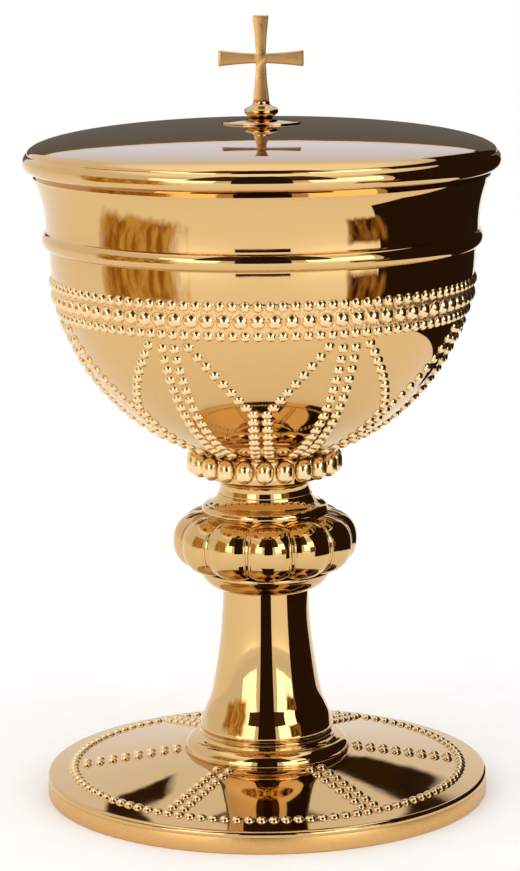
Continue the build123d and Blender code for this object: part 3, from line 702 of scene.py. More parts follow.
def satin_gilt():
    """Gold plate over fine bead-blasting, on the cross and the foot's standing ring: it spreads the
    light, and is redder than the mirror because it shows more of its own colour. The grit is drawn
    0.35 mm across, coarser than real, so that it shows."""
    finish = sizes("finish")
    material, shader = metal("gold_plate_satin_blasted", finish.satin, 0.3)
    link = material.node_tree.links.new
    here = add_node(material, "ShaderNodeTexCoord").outputs["Object"]
    grit = add_node(
        material, "ShaderNodeTexNoise", {"Scale": per_mm(0.35), "Detail": 3.0}, Vector=here
    )
    patch = add_node(
        material, "ShaderNodeTexNoise", {"Scale": per_mm(3), "Detail": 3.0}, Vector=here
    )
    rough = add_node(
        material, "ShaderNodeMapRange", {1: 0.3, 2: 0.75, 3: 0.24, 4: 0.4}, i0=patch.outputs["Fac"]
    )
    link(rough.outputs["Result"], shader.inputs["Roughness"])
    bump = add_node(
        material, "ShaderNodeBump", {"Strength": 0.3, "Distance": 0.1 * MM}, Height=grit.outputs["Fac"]
    )
    link(bump.outputs["Normal"], shader.inputs["Normal"])
    return material


def turned_brass():
    """Bare turned brass of the rod, washers and nuts: dulled, with darker tarnish in patches."""
    finish = sizes("finish")
    material, shader = metal("brass_turned_bare", finish.brass, 0.3)
    link = material.node_tree.links.new
    here = add_node(material, "ShaderNodeTexCoord").outputs["Object"]
    tarnish = add_node(
        material, "ShaderNodeTexNoise", {"Scale": per_mm(4), "Detail": 5.0}, Vector=here
    )
    tint = add_node(
        material,
        "ShaderNodeMix",
        {"data_type": "RGBA", 6: linear(finish.brass), 7: linear("A47C3E")},
        i0=tarnish.outputs["Fac"],
    )
    link(tint.outputs[2], shader.inputs["Base Color"])
    rough = add_node(
        material, "ShaderNodeMapRange", {1: 0.3, 2: 0.75, 3: 0.22, 4: 0.45}, i0=tarnish.outputs["Fac"]
    )
    link(rough.outputs["Result"], shader.inputs["Roughness"])
    bump = add_node(
        material, "ShaderNodeBump", {"Strength": 0.1, "Distance": 0.05 * MM}, Height=tarnish.outputs["Fac"]
    )
    link(bump.outputs["Normal"], shader.inputs["Normal"])
    return material


MAKERS = {
    "polished": polished_gilt,
    "cup": stippled_cup_gilt,
    "lathe": lathe_gilt,
    "beads": beaded_gilt_with_painted_sheen,
    "satin": satin_gilt,
    "brass": turned_brass,
}
made_materials = {}


def finish_of(kind):
    """The material of a kind, made once."""
    if kind not in made_materials:
        made_materials[kind] = MAKERS[kind]()
    return made_materials[kind]


def inside_faces(obj, inner):
    """Gives the faces that a test picks the piece's second material."""
    for face in obj.data.polygons:
        if inner(face.center / MM, face.normal):
            face.material_index = 1


def beaded(node, radius, height, places):
    """A piece that is one bead copied to every place."""
    finish_piece(copies(bead(radius, height), places), node, finish_of("beads"), 60)


# ---------------------------------------------------------------- foot and stem
class CIBORIUM_OT_foot(bpy.types.Operator):
    """Standing ring and spun plate of the foot"""

    bl_idname = "ciborium.foot"
    bl_label = "Foot"

    def execute(self, context):
        foot = sizes("foot")
        inner = FOOT_RADIUS - mm(foot.rim_width)
        ease = 0.3
        turned(
            "foot_rim",
            outline(
                (inner, RIM_TOP), (inner, ease), (inner + ease, 0), (FOOT_RADIUS - ease, 0),
                (FOOT_RADIUS, ease), (FOOT_RADIUS, RIM_TOP), (inner, RIM_TOP),
            ),
            finish_of("satin"), edge=0.1,
        )
        shoulder = (PLATE_SHOULDER, plate_top(PLATE_SHOULDER))
        seat = FOOT_RADIUS - 2.1
        wall = mm(foot.wall)
        hub = mm(foot.hub)
        under = seat - 0.2
        plate = turned(
            "foot_plate",
            outline(
                (FOOT_RADIUS, RIM_TOP),
                arc((FOOT_RADIUS, RIM_TOP + 0.6), (FOOT_RADIUS - 0.32, RIM_TOP + 1.38), shoulder, 8),
                [(r, plate_top(r)) for r in steps(PLATE_SHOULDER, hub, 8)],
                (ROD_BORE, HUB_TOP), (ROD_BORE, HUB_TOP - wall), (hub, HUB_TOP - wall),
                (under, plate_top(under) - wall), (seat, RIM_TOP), (FOOT_RADIUS, RIM_TOP),
            ),
            [finish_of("polished"), finish_of("lathe")], edge=0.1,
        )
        inside_faces(plate, lambda c, n: n.z < -0.5)
        return {"FINISHED"}


class CIBORIUM_OT_foot_beads(bpy.types.Operator):
    """Ring and spokes of beads on the foot"""

    bl_idname = "ciborium.foot_beads"
    bl_label = "Foot beads"

    def execute(self, context):
        foot, beads = sizes("foot"), sizes("beads")
        radius, height = mm(beads.radius), mm(beads.height)
        ring = mm(foot.ring)
        count = int(2 * math.pi * ring / (2 * radius + mm(beads.gap)))
        places = [on_plate(360 * i / count, ring) for i in range(count)]
        beaded("foot_bead_ring", radius, height, places)
        first = mm(foot.hub) + radius + 0.4
        last = ring - 2 * radius - 0.4
        places = [
            on_plate(360 * (spoke + 0.5) / foot.spokes, r, side * mm(beads.spacing) / 2)
            for spoke in range(foot.spokes)
            for r in steps(first, last, foot.spoke_beads)
            for side in (-1, 1)
        ]
        beaded("foot_spokes", radius, height, places)
        return {"FINISHED"}


class CIBORIUM_OT_stem(bpy.types.Operator):
    """Flared stem, its base mouldings, and the neck above the knop"""

    bl_idname = "ciborium.stem"
    bl_label = "Stem"

    def execute(self, context):
        foot = sizes("foot")
        wide, narrow = mm(foot.stem_foot), mm(foot.stem_top)
        flange = mm(foot.flange)
        curve = ((0.035, 1), (0.12, 0.84), (0.21, 0.61), (0.33, 0.43), (0.5, 0.26), (0.75, 0.085), (1, 0))
        tall = STEM_HIGH - STEM_LOW
        outer = [(narrow + (wide - narrow) * out, STEM_LOW + tall * up) for up, out in curve]
        inner = [(r - STEM_WALL, z) for r, z in outer]
        foot_edge = (wide - 0.5, STEM_LOW)
        turned(
            "stem",
            outline(
                smooth(outer), smooth(inner[::-1]), (inner[0][0], STEM_LOW), foot_edge,
                arc(foot_edge, (wide - 0.1, STEM_LOW + 0.45), outer[0], 5),
            ),
            finish_of("polished"), edge=0,
        )
        spigot = wide - STEM_WALL - 0.9
        step = (flange - 3.1, HUB_TOP + 3.75)
        turned(
            "stem_flange",
            outline(
                (ROD_BORE, HUB_TOP), (flange, HUB_TOP), (flange, HUB_TOP + 0.65),
                arc((flange - 0.2, HUB_TOP + 0.85), (flange - 0.95, HUB_TOP + 2.7), step, 12),
                (wide + 0.3, HUB_TOP + 4.0), (wide + 0.3, HUB_TOP + 4.6), (wide - 0.4, HUB_TOP + 4.9),
                (wide - 0.1, HUB_TOP + 5.3), (wide - 0.5, STEM_LOW), (spigot, STEM_LOW),
                (spigot, STEM_LOW + SPIGOT_HEIGHT), (ROD_BORE, STEM_LOW + SPIGOT_HEIGHT),
                (ROD_BORE, HUB_TOP),
            ),
            finish_of("polished"), edge=0.1,
        )
        neck, collar = NECK_RADIUS, mm(sizes("cup").collar)
        waist = (neck, NECK_LOW + 1.5)
        turned(
            "neck",
            outline(
                (ROD_BORE, NECK_LOW), (neck + 0.4, NECK_LOW), (neck + 0.4, NECK_LOW + 0.4),
                smooth([waist, (neck + 0.5, NECK_LOW + 3.4), (collar, NECK_HIGH)], 9, (0, 1), (1, 0.25)),
                (ROD_BORE, NECK_HIGH), (ROD_BORE, NECK_LOW),
            ),
            finish_of("polished"), edge=0.1,
        )
        return {"FINISHED"}


# ---------------------------------------------------------------- knop
class CIBORIUM_OT_knop(bpy.types.Operator):
    """Lobed and ribbed knop between its two turned rings"""

    bl_idname = "ciborium.knop"
    bl_label = "Knop"

    def execute(self, context):
        self.rings()
        self.lobes()
        return {"FINISHED"}

    def rings(self):
        narrow = mm(sizes("foot").stem_top)
        spigot = narrow - STEM_WALL - SPIGOT_PLAY
        top_spigot = KNOP_BORE - SPIGOT_PLAY
        foot_of_dish, foot_of_roll = STEM_HIGH - SPIGOT_HEIGHT, KNOP_HIGH - SPIGOT_HEIGHT
        wide = node_radius("knop_lower_ring")
        dish_high = (wide - 0.6, KNOP_LOW - 0.9)
        dish_low = (narrow + 0.15, STEM_HIGH)
        turned(
            "knop_lower_ring",
            outline(
                (ROD_BORE, foot_of_dish), (spigot, foot_of_dish), (spigot, STEM_HIGH),
                arc(dish_low, (narrow + 4.2, STEM_HIGH + 1.7), dish_high), (wide, KNOP_LOW - 0.8),
                (wide, KNOP_LOW), (top_spigot, KNOP_LOW), (top_spigot, KNOP_LOW + SPIGOT_HEIGHT),
                (ROD_BORE, KNOP_LOW + SPIGOT_HEIGHT), (ROD_BORE, foot_of_dish),
            ),
            finish_of("polished"), edge=0.12,
        )
        wide, neck = node_radius("knop_upper_ring"), NECK_RADIUS
        roll_low, roll_high = (wide - 0.8, KNOP_HIGH), (wide - 1.7, KNOP_HIGH + 3.3)
        cove_high = (neck + 0.6, NECK_LOW - 0.5)
        turned(
            "knop_upper_ring",
            outline(
                (ROD_BORE, foot_of_roll), (top_spigot, foot_of_roll), (top_spigot, KNOP_HIGH),
                arc(roll_low, (wide, KNOP_HIGH + 1.6), roll_high, 18),
                arc((wide - 2.5, KNOP_HIGH + 3.6), (neck + 1.3, NECK_LOW - 1.5), cove_high, 10),
                (neck + 0.6, NECK_LOW), (ROD_BORE, NECK_LOW), (ROD_BORE, foot_of_roll),
            ),
            finish_of("polished"), edge=0.1,
        )

    def half_width(self, height):
        knop = sizes("knop")
        share = min(abs(height) / mm(knop.half_height), 1)
        return mm(knop.lobe) * (1 - share**knop.fullness) ** (1 / knop.fullness)

    def lobes(self):
        knop = sizes("knop")
        axis = mm(knop.radius) - mm(knop.lobe)
        half = math.pi / knop.lobes
        middle = KNOP_LOW + (KNOP_HIGH - KNOP_LOW) / 2 + 0.4
        skin = []
        for angle in steps(-math.pi / 2, math.pi / 2, 29):
            up = math.copysign(abs(math.sin(angle)) ** (2 / knop.fullness), angle) * mm(knop.half_height)
            skin.append(((axis + self.half_width(up)) * MM, 0, (middle + up) * MM))
        skin[0] = (axis * MM, 0, (middle - mm(knop.half_height)) * MM)
        skin[-1] = (axis * MM, 0, (middle + mm(knop.half_height)) * MM)
        draw_line("knop", skin)
        lobe = bpy.context.object
        bpy.ops.mesh.select_all(action="SELECT")
        bpy.ops.transform.rotate(
            value=math.pi / 2, orient_axis="Z", center_override=(axis * MM, 0, middle * MM)
        )
        bpy.ops.mesh.select_all(action="SELECT")
        bpy.ops.mesh.spin(steps=56, angle=2 * math.pi, center=(axis * MM, 0, 0), axis=(0, 0, 1))
        close_up()
        for side in (-1, 1):
            cut_away((0, 0, 0), (math.sin(half), -side * math.cos(half), 0))
        cut_away((KNOP_BORE * MM, 0, 0), (1, 0, 0))
        for height, direction in ((KNOP_LOW, 1), (KNOP_HIGH, -1)):
            cut_away((0, 0, (height - 0.9 * direction) * MM), (0, 0, direction))
        close_up()
        bpy.ops.object.mode_set(mode="OBJECT")
        share = 2 * half
        turn = knop.turn - math.pi / 2
        body = copies(lobe, [Matrix.Rotation(turn + share * i, 4, "Z") for i in range(knop.lobes)])
        join(body, self.ribs(axis, half, middle, turn))
        finish_piece(body, "knop", finish_of("polished"), 50)

    def ribs(self, axis, half, middle, turn):
        """Pairs of ribs, each a strip that follows the valley between two lobes."""
        knop = sizes("knop")
        sideways = axis * math.sin(half)
        reach = (KNOP_HIGH - KNOP_LOW) / 2 - 1.2
        width = mm(knop.rib_width)
        skin = []
        for up in steps(-reach, reach, 25):
            depth = math.sqrt(max(self.half_width(up) ** 2 - sideways**2, 0))
            skin.append((axis * math.cos(half) + depth + mm(knop.rib_proud), up))
        line = [(r, u) for r, u in skin] + [(r - 2.6, u) for r, u in skin[::-1]]
        points = [(r * MM, -width / 2 * MM, (middle + u) * MM) for r, u in line]
        draw_line("knop_rib", points)
        rib = bpy.context.object
        bpy.ops.mesh.select_all(action="SELECT")
        bpy.ops.mesh.edge_face_add()
        bpy.ops.mesh.extrude_region_move(TRANSFORM_OT_translate={"value": (0, width * MM, 0)})
        close_up()
        bpy.ops.object.mode_set(mode="OBJECT")
        bevel_edges(rib, 0.3, 3, 50)
        offset = (mm(knop.rib_gap) + width) / 2 * MM
        return copies(
            rib,
            [
                Matrix.Rotation(turn + 2 * half * (i + 0.5), 4, "Z")
                @ Matrix.Translation((0, side * offset, 0))
                for i in range(knop.lobes)
                for side in (-1, 1)
            ],
        )


# ---------------------------------------------------------------- cup
def bowl_line(radius, first, last, count):
    """Bowl curve between two angles below its middle."""
    cup = sizes("cup")
    line = []
    for angle in steps(first, last, count):
        low = math.radians(angle)
        line.append((radius * math.cos(low) - mm(cup.inset), BOWL_CENTRE - radius * math.sin(low)))
    return line


def bottom_angle(radius):
    """Angle at which the bowl curve meets the axis."""
    return math.degrees(math.acos(mm(sizes("cup").inset) / radius))


class CIBORIUM_OT_cup(bpy.types.Operator):
    """Spun cup with its flared lip, raised band, boss and bead collar"""

    bl_idname = "ciborium.cup"
    bl_label = "Cup"

    def execute(self, context):
        cup = sizes("cup")
        bowl, wall, throat, lip = mm(cup.bowl), mm(cup.wall), mm(cup.throat), mm(cup.lip)
        widest = bowl - mm(cup.inset)
        throat_low = BAND_HIGH + 0.6
        tall = LIP_TOP - throat_low
        spread = lip - throat
        curve = (spread**2 + tall**2) / (2 * spread)

        def flare(inset, top):
            return [
                (throat + curve - math.sqrt((curve + inset) ** 2 - h**2), throat_low + h)
                for h in steps(0, top, 16)
            ]

        outside = flare(0, tall)
        outside[-1] = (outside[-1][0] - 0.04, LIP_TOP - 0.35)
        inside = flare(wall, tall)
        shell = turned(
            "cup_shell",
            outline(
                (0, BOWL_CENTRE - math.sqrt(bowl**2 - mm(cup.inset) ** 2)),
                bowl_line(bowl, bottom_angle(bowl) - 1.5, 0, 60), (widest, BAND_LOW), (throat, BAND_HIGH),
                outside, (lip - 0.35, LIP_TOP), inside[::-1],
                (throat - wall, BAND_HIGH), (widest - wall, BAND_LOW),
                bowl_line(bowl - wall, 0, bottom_angle(bowl - wall) - 1.5, 50),
                (0, BOWL_CENTRE - math.sqrt((bowl - wall) ** 2 - mm(cup.inset) ** 2)),
            ),
            [finish_of("cup"), finish_of("lathe")], edge=0,
        )
        inside_faces(
            shell,
            lambda c, n: Vector((c.x, c.y, 0)).dot(n) < -0.01 or (n.z > 0.5 and c.z < LIP_TOP - 1),
        )
        crest = ((widest + throat) / 2 + mm(cup.band_proud), (BAND_LOW + BAND_HIGH) / 2)
        turned(
            "cup_band",
            outline(arc((widest, BAND_LOW), crest, (throat, BAND_HIGH), 20), (widest, BAND_LOW)),
            finish_of("polished"), edge=0,
        )
        collar = mm(cup.collar)
        hole = 3.05
        meet = [math.degrees(math.acos((r + mm(cup.inset)) / bowl)) for r in (collar, hole)]
        turned(
            "cup_boss",
            outline((hole, NECK_HIGH), (collar, NECK_HIGH), bowl_line(bowl, *meet, 10), (hole, NECK_HIGH)),
            finish_of("polished"), edge=0, around=96,
        )
        self.collar(collar)
        return {"FINISHED"}

    def collar(self, collar):
        """Upright beads joined behind by a band."""
        cup = sizes("cup")
        low, high = node_low("bead_collar"), node_high("bead_collar")
        radius, half = 2.55, (high - low) / 2
        centre = (low + high) / 2
        straight = half - radius
        start_clean()
        bpy.ops.mesh.primitive_uv_sphere_add(segments=28, ring_count=18, radius=radius * MM)
        ball = bpy.context.object
        bpy.ops.object.mode_set(mode="EDIT")
        for side in (-1, 1):
            bpy.ops.mesh.select_all(action="DESELECT")
            bpy.ops.object.mode_set(mode="OBJECT")
            for vertex in ball.data.vertices:
                vertex.select = vertex.co.z * side > 1e-6
            bpy.ops.object.mode_set(mode="EDIT")
            bpy.ops.transform.translate(value=(0, 0, side * straight * MM))
        close_up()
        bpy.ops.object.mode_set(mode="OBJECT")
        reach = (collar + radius + 0.1) * MM
        turn = -math.pi / 2
        places = [
            Matrix.Rotation(turn + 2 * math.pi * i / cup.collar_beads, 4, "Z")
            @ Matrix.Translation((reach, 0, centre * MM))
            for i in range(cup.collar_beads)
        ]
        beads = copies(ball, places)
        band_low, band_high, band_out = low + 0.9, high - 0.9, collar + 1.3
        band = [(collar, band_low), (band_out, band_low), (band_out, band_high), (collar, band_high)]
        join(beads, lathe("collar_band", band + band[:1], 120))
        finish_piece(beads, "bead_collar", finish_of("beads"), 50)


class CIBORIUM_OT_bowl_beads(bpy.types.Operator):
    """Three rings, the chevrons and the upright rows of beads on the bowl"""

    bl_idname = "ciborium.bowl_beads"
    bl_label = "Bowl beads"

    def execute(self, context):
        cup, beads = sizes("cup"), sizes("beads")
        bowl, inset = mm(cup.bowl), mm(cup.inset)
        small, big = (mm(beads.radius), mm(beads.height)), (mm(beads.big_radius), mm(beads.big_height))
        gap, apart, row_gap = mm(beads.gap), mm(beads.spacing), mm(beads.row_gap)
        row_step = math.degrees((small[0] + big[0] + row_gap) / bowl)
        lower = UPPER_ROW + 2 * row_step

        def skin_radius(angle):
            return bowl * math.cos(math.radians(angle)) - inset

        for node, angle, (radius, height) in (
            ("bead_row_upper", UPPER_ROW, small),
            ("bead_row_middle", UPPER_ROW + row_step, big),
            ("bead_row_lower", lower, small),
        ):
            count = int(2 * math.pi * skin_radius(angle) / (2 * radius + gap))
            places = [on_bowl(360 * i / count, angle) for i in range(count)]
            beaded(node, radius, height, places)
        pitch = 2 * small[0] + gap
        top = lower + math.degrees((2 * small[0] + row_gap) / bowl)
        low, spread = CHEVRON_LOW, CHEVRON_SPREAD
        foot_turn = math.degrees(apart / 2 / skin_radius(low))

        def column(first):
            return steps(first, COLUMN_LOW, int(bowl * math.radians(COLUMN_LOW - first) / pitch) + 1)

        tail, upright = column(low + math.degrees(pitch / bowl)), column(top + COLUMN_DROP)
        across = (skin_radius(top) + skin_radius(low)) / 2 * math.radians(spread - foot_turn)
        arm = int(math.hypot(bowl * math.radians(low - top), across) / pitch) + 1
        chevrons, meridians = [], []
        for i in range(cup.repeats):
            middle, between = 360 * i / cup.repeats, 360 * (i + 0.5) / cup.repeats
            for side in (-1, 1):
                for turn, angle in zip(steps(spread, foot_turn, arm), steps(top, low, arm)):
                    chevrons.append(on_bowl(middle + side * turn, angle))
                chevrons += [on_bowl(middle, angle, side * apart / 2) for angle in tail]
                meridians += [on_bowl(between, angle, side * apart / 2) for angle in upright]
        beaded("bead_chevrons", *small, chevrons)
        beaded("bead_meridians", *small, meridians)
        return {"FINISHED"}


# ---------------------------------------------------------------- lid and finial
class CIBORIUM_OT_lid(bpy.types.Operator):
    """Domed lid with its rolled edge and locating ring"""

    bl_idname = "ciborium.lid"
    bl_label = "Lid"

    def execute(self, context):
        lid = sizes("lid")
        crease, crown, wall = mm(lid.crease), mm(lid.crown), mm(lid.wall)
        lip = mm(sizes("cup").lip)
        inner = lip - 1.7
        base = LID_TOP - crown

        def crown_line(rim, height, first, count):
            points = []
            for angle in steps(first, 90, count):
                share = math.sin(math.radians(angle)) ** (2 / lid.fullness)
                points.append((rim * share, base + height * math.cos(math.radians(angle))))
            return points

        def angle_at(rim):
            return math.degrees(math.asin((STUD_BORE / rim) ** (lid.fullness / 2)))

        seam = 0.35
        flank = (lip + 0.95, LIP_TOP + seam + 0.75)
        outside = crown_line(crease, crown, angle_at(crease), 72)
        inside = crown_line(inner, crown - wall, angle_at(inner), 60)
        shell = turned(
            "lid_shell",
            outline(
                outside,
                arc((crease, base), (mm(lid.radius), LIP_TOP + 4.1), flank, 20),
                (lip, LIP_TOP + seam), (lip - seam, LIP_TOP), (inner, LIP_TOP),
                inside[::-1], outside[0],
            ),
            [finish_of("polished"), finish_of("lathe")], edge=0,
        )
        inside_faces(
            shell,
            lambda c, n: (n.z < -0.2 and math.hypot(c.x, c.y) < inner - 0.1)
            or Vector((c.x, c.y, 0)).dot(n) < -1,
        )
        low, high = node_low("lid_locating_ring"), node_high("lid_locating_ring")
        outer = node_radius("lid_locating_ring")
        turned(
            "lid_locating_ring",
            outline((outer - 1, low), (outer, low), (outer, high - 0.3), (outer - 1, high), (outer - 1, low)),
            finish_of("lathe"), edge=0.15,
        )
        return {"FINISHED"}


class CIBORIUM_OT_finial(bpy.types.Operator):
    """Saucer, bulb and cross on top of the lid"""

    bl_idname = "ciborium.finial"
    bl_label = "Finial"

    def execute(self, context):
        lid = sizes("lid")
        crease, crown = mm(lid.crease), mm(lid.crown)
        wide, bulb = node_radius("finial_saucer"), node_radius("finial_bulb")
        edge = LID_TOP + 0.3

        def crown_height(radius):
            return LID_TOP - crown + crown * math.sqrt(1 - (radius / crease) ** lid.fullness)

        under = [(r, crown_height(r)) for r in steps(STUD_BORE, wide, 10)]
        turned(
            "finial_saucer",
            outline(
                under,
                arc((wide, edge), (wide * 0.62, edge + 0.75), (bulb * 0.62, SAUCER_TOP), 16),
                (STUD_BORE, SAUCER_TOP), under[0],
            ),
            finish_of("polished"), edge=0.12, around=144,
        )
        seat, middle, throat = bulb * 0.6, SAUCER_TOP + 4.2 * 0.48, 2.3
        top = BULB_TOP - 0.3
        turned(
            "finial_bulb",
            outline(
                (0, SAUCER_TOP),
                smooth(
                    [(seat, SAUCER_TOP), (bulb, middle), (throat, top - 0.15), (throat, BULB_TOP)],
                    10, (1, 0.25), (0, 1),
                ),
                (0, BULB_TOP),
            ),
            finish_of("polished"), edge=0.08, around=96,
        )
        self.cross(lid)
        return {"FINISHED"}

    def cross(self, lid):
        """Cross with arms that widen in a shallow curve, extruded from the crossing."""
        arm, end, waist = mm(lid.arm), mm(lid.arm_end) / 2, mm(lid.waist) / 2
        bow = waist + (end - waist) * 0.34
        half = mm(lid.thick) / 2
        centre = CROSS_TOP - arm
        rim = arc((waist, waist), (arm * 0.55, bow), (arm, end), 12)
        quarter = rim + [(arm, -end)] + [(x, -y) for x, y in rim[::-1]][1:-1]
        line = []
        for turn in range(4):
            c, s = round(math.cos(turn * math.pi / 2)), round(math.sin(turn * math.pi / 2))
            part = [(x * c + y * s, y * c - x * s) for x, y in quarter]
            line += part
        line.append(line[0])
        draw_line("cross", [(x * MM, half * MM, (centre + z) * MM) for x, z in line])
        obj = bpy.context.object
        bpy.ops.mesh.select_all(action="SELECT")
        bpy.ops.mesh.remove_doubles(threshold=MERGE)
        bpy.ops.mesh.edge_face_add()
        bpy.ops.mesh.extrude_region_move(TRANSFORM_OT_translate={"value": (0, -2 * half * MM, 0)})
        close_up()
        bpy.ops.transform.rotate(value=-lid.turn, orient_axis="Z", center_override=(0, 0, 0))
        bpy.ops.object.mode_set(mode="OBJECT")
        bevel_edges(obj, 0.38, 3, 40)
        finish_piece(obj, "cross", finish_of("satin"), 25)


class CIBORIUM_OT_fastenings(bpy.types.Operator):
    """Finish of the rod, stud, washers and nuts that hold the vessel together"""

    bl_idname = "ciborium.fastenings"
    bl_label = "Fastenings"

    def execute(self, context):
        for node in ("tie_rod", "rod_washer", "rod_nut", "finial_stud", "finial_washer", "finial_nut"):
            obj = frame["nodes"][node]
            obj.data.materials.clear()
            obj.data.materials.append(finish_of("brass"))
        return {"FINISHED"}


# ---------------------------------------------------------------- stage
def glow(name, code, strength, streaks=None, along="Y"):
    """An emitting surface for a studio card: plain, or streaked with a second colour and faded out
    towards its edges. The fade runs along one level axis and upright."""
    material = bpy.data.materials.new(name)
    material.use_nodes = True
    tree = material.node_tree
    tree.nodes.remove(tree.nodes["Principled BSDF"])
    light = add_node(material, "ShaderNodeEmission", {"Color": linear(code), "Strength": strength})
    surface = light.outputs[0]
    if streaks:
        place = add_node(material, "ShaderNodeTexCoord")
        parts = add_node(material, "ShaderNodeSeparateXYZ", None, Vector=place.outputs["Generated"])
        drawn = add_node(
            material, "ShaderNodeMapping", {"Scale": (1.0, 1.0, 0.3)}, Vector=place.outputs["Object"]
        )
        folds = add_node(
            material, "ShaderNodeTexNoise", {"Scale": 60.0, "Detail": 3.0}, Vector=drawn.outputs[0]
        )
        share = add_node(
            material, "ShaderNodeMapRange", {1: 0.38, 2: 0.62}, i0=folds.outputs["Fac"]
        )
        tint = add_node(
            material,
            "ShaderNodeMix",
            {"data_type": "RGBA", 6: linear(code), 7: linear(streaks)},
            i0=share.outputs[0],
        )
        tree.links.new(tint.outputs[2], light.inputs["Color"])
        wander = add_node(
            material, "ShaderNodeMath", {"operation": "MULTIPLY", 1: 0.3}, i0=folds.outputs["Fac"]
        )
        fades = []
        for axis in (along, "Z"):
            off = add_node(
                material, "ShaderNodeMath", {"operation": "SUBTRACT", 1: 0.5}, i0=parts.outputs[axis]
            )
            away = add_node(
                material, "ShaderNodeMath", {"operation": "ABSOLUTE"}, i0=off.outputs[0]
            )
            rough = add_node(
                material, "ShaderNodeMath", {"operation": "ADD"}, i0=away.outputs[0], i1=wander.outputs[0]
            )
            fade = add_node(
                material, "ShaderNodeMapRange", {1: 0.62, 2: 0.5, 3: 0.0, 4: 1.0}, i0=rough.outputs[0]
            )
            fades.append(fade.outputs[0])
        fade = add_node(
            material, "ShaderNodeMath", {"operation": "MULTIPLY"}, i0=fades[0], i1=fades[1]
        )
        clear = add_node(material, "ShaderNodeBsdfTransparent")
        surface = add_node(
            material, "ShaderNodeMixShader", None,
            i0=fade.outputs[0], i1=clear.outputs[0], i2=light.outputs[0],
        ).outputs[0]
    tree.links.new(surface, tree.nodes["Material Output"].inputs["Surface"])
    return material


def card(name, first, last, distance, low, high, material):
    """An upright card bent round the object between two azimuths, seen only in reflections."""
    points = []
    for azimuth in steps(first, last, 17):
        turn = math.radians(azimuth)
        points.append((distance * math.sin(turn), -distance * math.cos(turn), low))
    draw_line(name, points)
    obj = bpy.context.object
    bpy.ops.mesh.select_all(action="SELECT")
    bpy.ops.mesh.extrude_region_move(TRANSFORM_OT_translate={"value": (0, 0, high - low)})
    bpy.ops.object.mode_set(mode="OBJECT")
    obj.name = name
    obj.data.materials.append(material)
    obj.visible_camera = False
    obj.visible_diffuse = False
    obj.visible_shadow = False


def soft_light(name, azimuth, elevation, distance, width, height, power, aim=(0, 0, 0.11)):
    """A rectangular area light that looks at the middle of the object."""
    data = bpy.data.lights.new(name, "AREA")
    data.shape = "RECTANGLE"
    data.size, data.size_y = width, height
    data.energy = power
    obj = bpy.data.objects.new(name, data)
    bpy.context.collection.objects.link(obj)
    turn, up = math.radians(azimuth), math.radians(elevation)
    back = Vector((math.sin(turn) * math.cos(up), -math.cos(turn) * math.cos(up), math.sin(up)))
    obj.location = Vector(aim) + back * distance
    obj.rotation_euler = (-back).to_track_quat("-Z", "Y").to_euler()
    obj.visible_camera = False


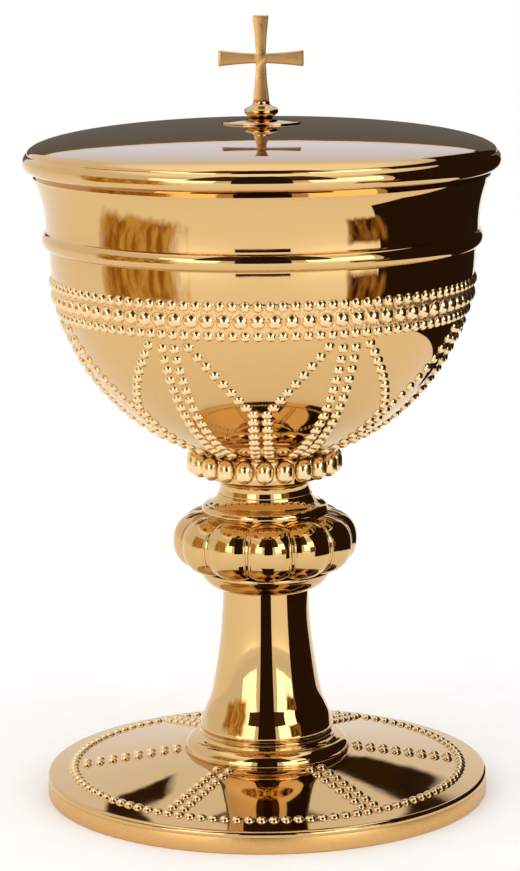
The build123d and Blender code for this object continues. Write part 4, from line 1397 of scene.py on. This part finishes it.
class CIBORIUM_OT_stage(bpy.types.Operator):
    """Pale floor, soft studio light, reflection cards and the camera"""

    bl_idname = "ciborium.stage"
    bl_label = "Stage"

    def execute(self, context):
        self.floor()
        self.surroundings()
        self.cards()
        self.lights()
        self.camera()
        return {"FINISHED"}

    def floor(self):
        start_clean()
        bpy.ops.mesh.primitive_circle_add(vertices=96, radius=9.0, fill_type="NGON", location=(0, 0, 0))
        floor = bpy.context.object
        floor.name = "studio_floor"
        material = bpy.data.materials.new("paper_sweep_pale")
        material.use_nodes = True
        shader = material.node_tree.nodes["Principled BSDF"]
        place = add_node(material, "ShaderNodeTexCoord")
        grain = add_node(
            material, "ShaderNodeTexNoise", {"Scale": 60.0, "Detail": 3.0}, Vector=place.outputs["Object"]
        )
        tint = add_node(
            material,
            "ShaderNodeMix",
            {"data_type": "RGBA", 6: linear(sizes("finish").floor), 7: linear("FBFAF9")},
            i0=grain.outputs["Fac"],
        )
        material.node_tree.links.new(tint.outputs[2], shader.inputs["Base Color"])
        shader.inputs["Roughness"].default_value = 0.8
        floor.data.materials.append(material)

    def surroundings(self):
        """A pale room, brightest overhead."""
        world = bpy.data.worlds.new("studio_room")
        bpy.context.scene.world = world
        world.use_nodes = True
        place = add_node(world, "ShaderNodeTexCoord")
        parts = add_node(world, "ShaderNodeSeparateXYZ", None, Vector=place.outputs["Generated"])
        ramp = add_node(
            world, "ShaderNodeMapRange", {1: 0.7, 2: 0.88, 3: 0.0, 4: 1.0}, i0=parts.outputs["Z"]
        )
        tint = add_node(
            world, "ShaderNodeMix",
            {"data_type": "RGBA", 6: (0.92, 0.91, 0.9, 1), 7: (1.36, 1.36, 1.36, 1)},
            i0=ramp.outputs[0],
        )
        world.node_tree.links.new(tint.outputs[2], world.node_tree.nodes["Background"].inputs["Color"])

    def cards(self):
        # This dark glow stands for black felt on the right, and on the low card in front of the stem it is a
        # painted dark reflection.
        dark = glow("card_black_felt_and_painted_dark_reflection", "2B1D12", 1.0)
        umber = glow("card_umber_felt", "4A3422", 1.0)
        smoke = glow("card_grey_felt", "6A6560", 1.0)
        cool = glow("card_cool_paper", "C6D3FA", 1.5)
        cloth = glow("card_black_cloth", "2B1D12", 1.0, "38260F", "X")
        gold = glow("card_gold_foil", "E0BC6C", 1.0, "A5702E")
        brown = glow("card_brown_foil", "B98A45", 1.0, "3E2610")
        card("card_back", 142, 218, 0.2, 0.176, 0.255, smoke)
        card("card_back_high", 142, 218, 0.2, 0.262, 0.42, cool)
        card("card_back_right", 157, 172, 0.25, 0.098, 0.168, cloth)
        card("card_back_left", -167, -157, 0.25, 0.142, 0.176, cloth)
        card("card_right", 57, 150, 0.27, 0.0, 0.42, dark)
        card("card_right_low", 38, 62, 0.255, 0.045, 0.13, brown)
        card("card_left", -88, -34, 0.25, 0.045, 0.235, gold)
        # A painted dark reflection: a dark glowing sheet close round the stem, with nothing real in its
        # place, that puts a dark strip into the front of the stem and its base.
        card("card_front_low_painted_dark_reflection", -11.5, 11.5, 0.036, 0.02, 0.058, dark)
        card("card_front_high", -14, 14, 1.0, 0.0, 3.4, dark)
        card("card_front_top", -36, 36, 1.02, 0.5, 3.0, umber)

    def lights(self):
        soft_light("softbox_left", -38, 15, 1.5, 0.85, 0.84, 4.2)
        soft_light("softbox_right", 40, 15, 1.5, 0.95, 0.84, 4.9)

    def camera(self):
        data = bpy.data.cameras.new("camera")
        obj = bpy.data.objects.new("camera", data)
        bpy.context.collection.objects.link(obj)
        data.sensor_width = 36
        data.lens = CAMERA_LENS
        data.clip_start, data.clip_end = 0.01, 60
        pitch = math.radians(CAMERA_PITCH)
        target = Vector((0, 0, CAMERA_HEIGHT))
        back = Vector((0, -math.cos(pitch), math.sin(pitch)))
        aim = (-back).to_track_quat("-Z", "Y")
        side = aim @ Vector((1, 0, 0))
        obj.location = target + back * CAMERA_DISTANCE - side * CAMERA_ASIDE * MM
        roll = Matrix.Rotation(math.radians(CAMERA_ROLL), 4, back).to_quaternion()
        obj.rotation_mode = "QUATERNION"
        obj.rotation_quaternion = roll @ aim
        bpy.context.scene.camera = obj
        bpy.context.scene.view_settings.view_transform = "Standard"


# ---------------------------------------------------------------- add-on
OPERATORS = (
    CIBORIUM_OT_foot,
    CIBORIUM_OT_foot_beads,
    CIBORIUM_OT_stem,
    CIBORIUM_OT_knop,
    CIBORIUM_OT_cup,
    CIBORIUM_OT_bowl_beads,
    CIBORIUM_OT_lid,
    CIBORIUM_OT_finial,
    CIBORIUM_OT_fastenings,
    CIBORIUM_OT_stage,
)


class CIBORIUM_PT_pieces(bpy.types.Panel):
    """Pieces of the ciborium and their sizes"""

    bl_label = "Ciborium"
    bl_idname = "CIBORIUM_PT_pieces"
    bl_space_type = "VIEW_3D"
    bl_region_type = "UI"
    bl_category = "Ciborium"

    def draw(self, context):
        for operator in OPERATORS:
            self.layout.operator(operator.bl_idname)
        for name in SETTINGS:
            box = self.layout.box()
            settings = getattr(context.scene, name)
            for field in settings.bl_rna.properties:
                if field.identifier not in ("rna_type", "name"):
                    box.prop(settings, field.identifier)


def register():
    for kind in (*SETTINGS.values(), *OPERATORS, CIBORIUM_PT_pieces):
        bpy.utils.register_class(kind)
    for name, kind in SETTINGS.items():
        setattr(bpy.types.Scene, name, bpy.props.PointerProperty(type=kind))


def unregister():
    for name in SETTINGS:
        delattr(bpy.types.Scene, name)
    for kind in reversed((*SETTINGS.values(), *OPERATORS, CIBORIUM_PT_pieces)):
        bpy.utils.unregister_class(kind)


def main():
    register()
    for operator in OPERATORS:
        group, name = operator.bl_idname.split(".")
        getattr(getattr(bpy.ops, group), name)()
    start_clean()


if __name__ == "__main__":
    main()
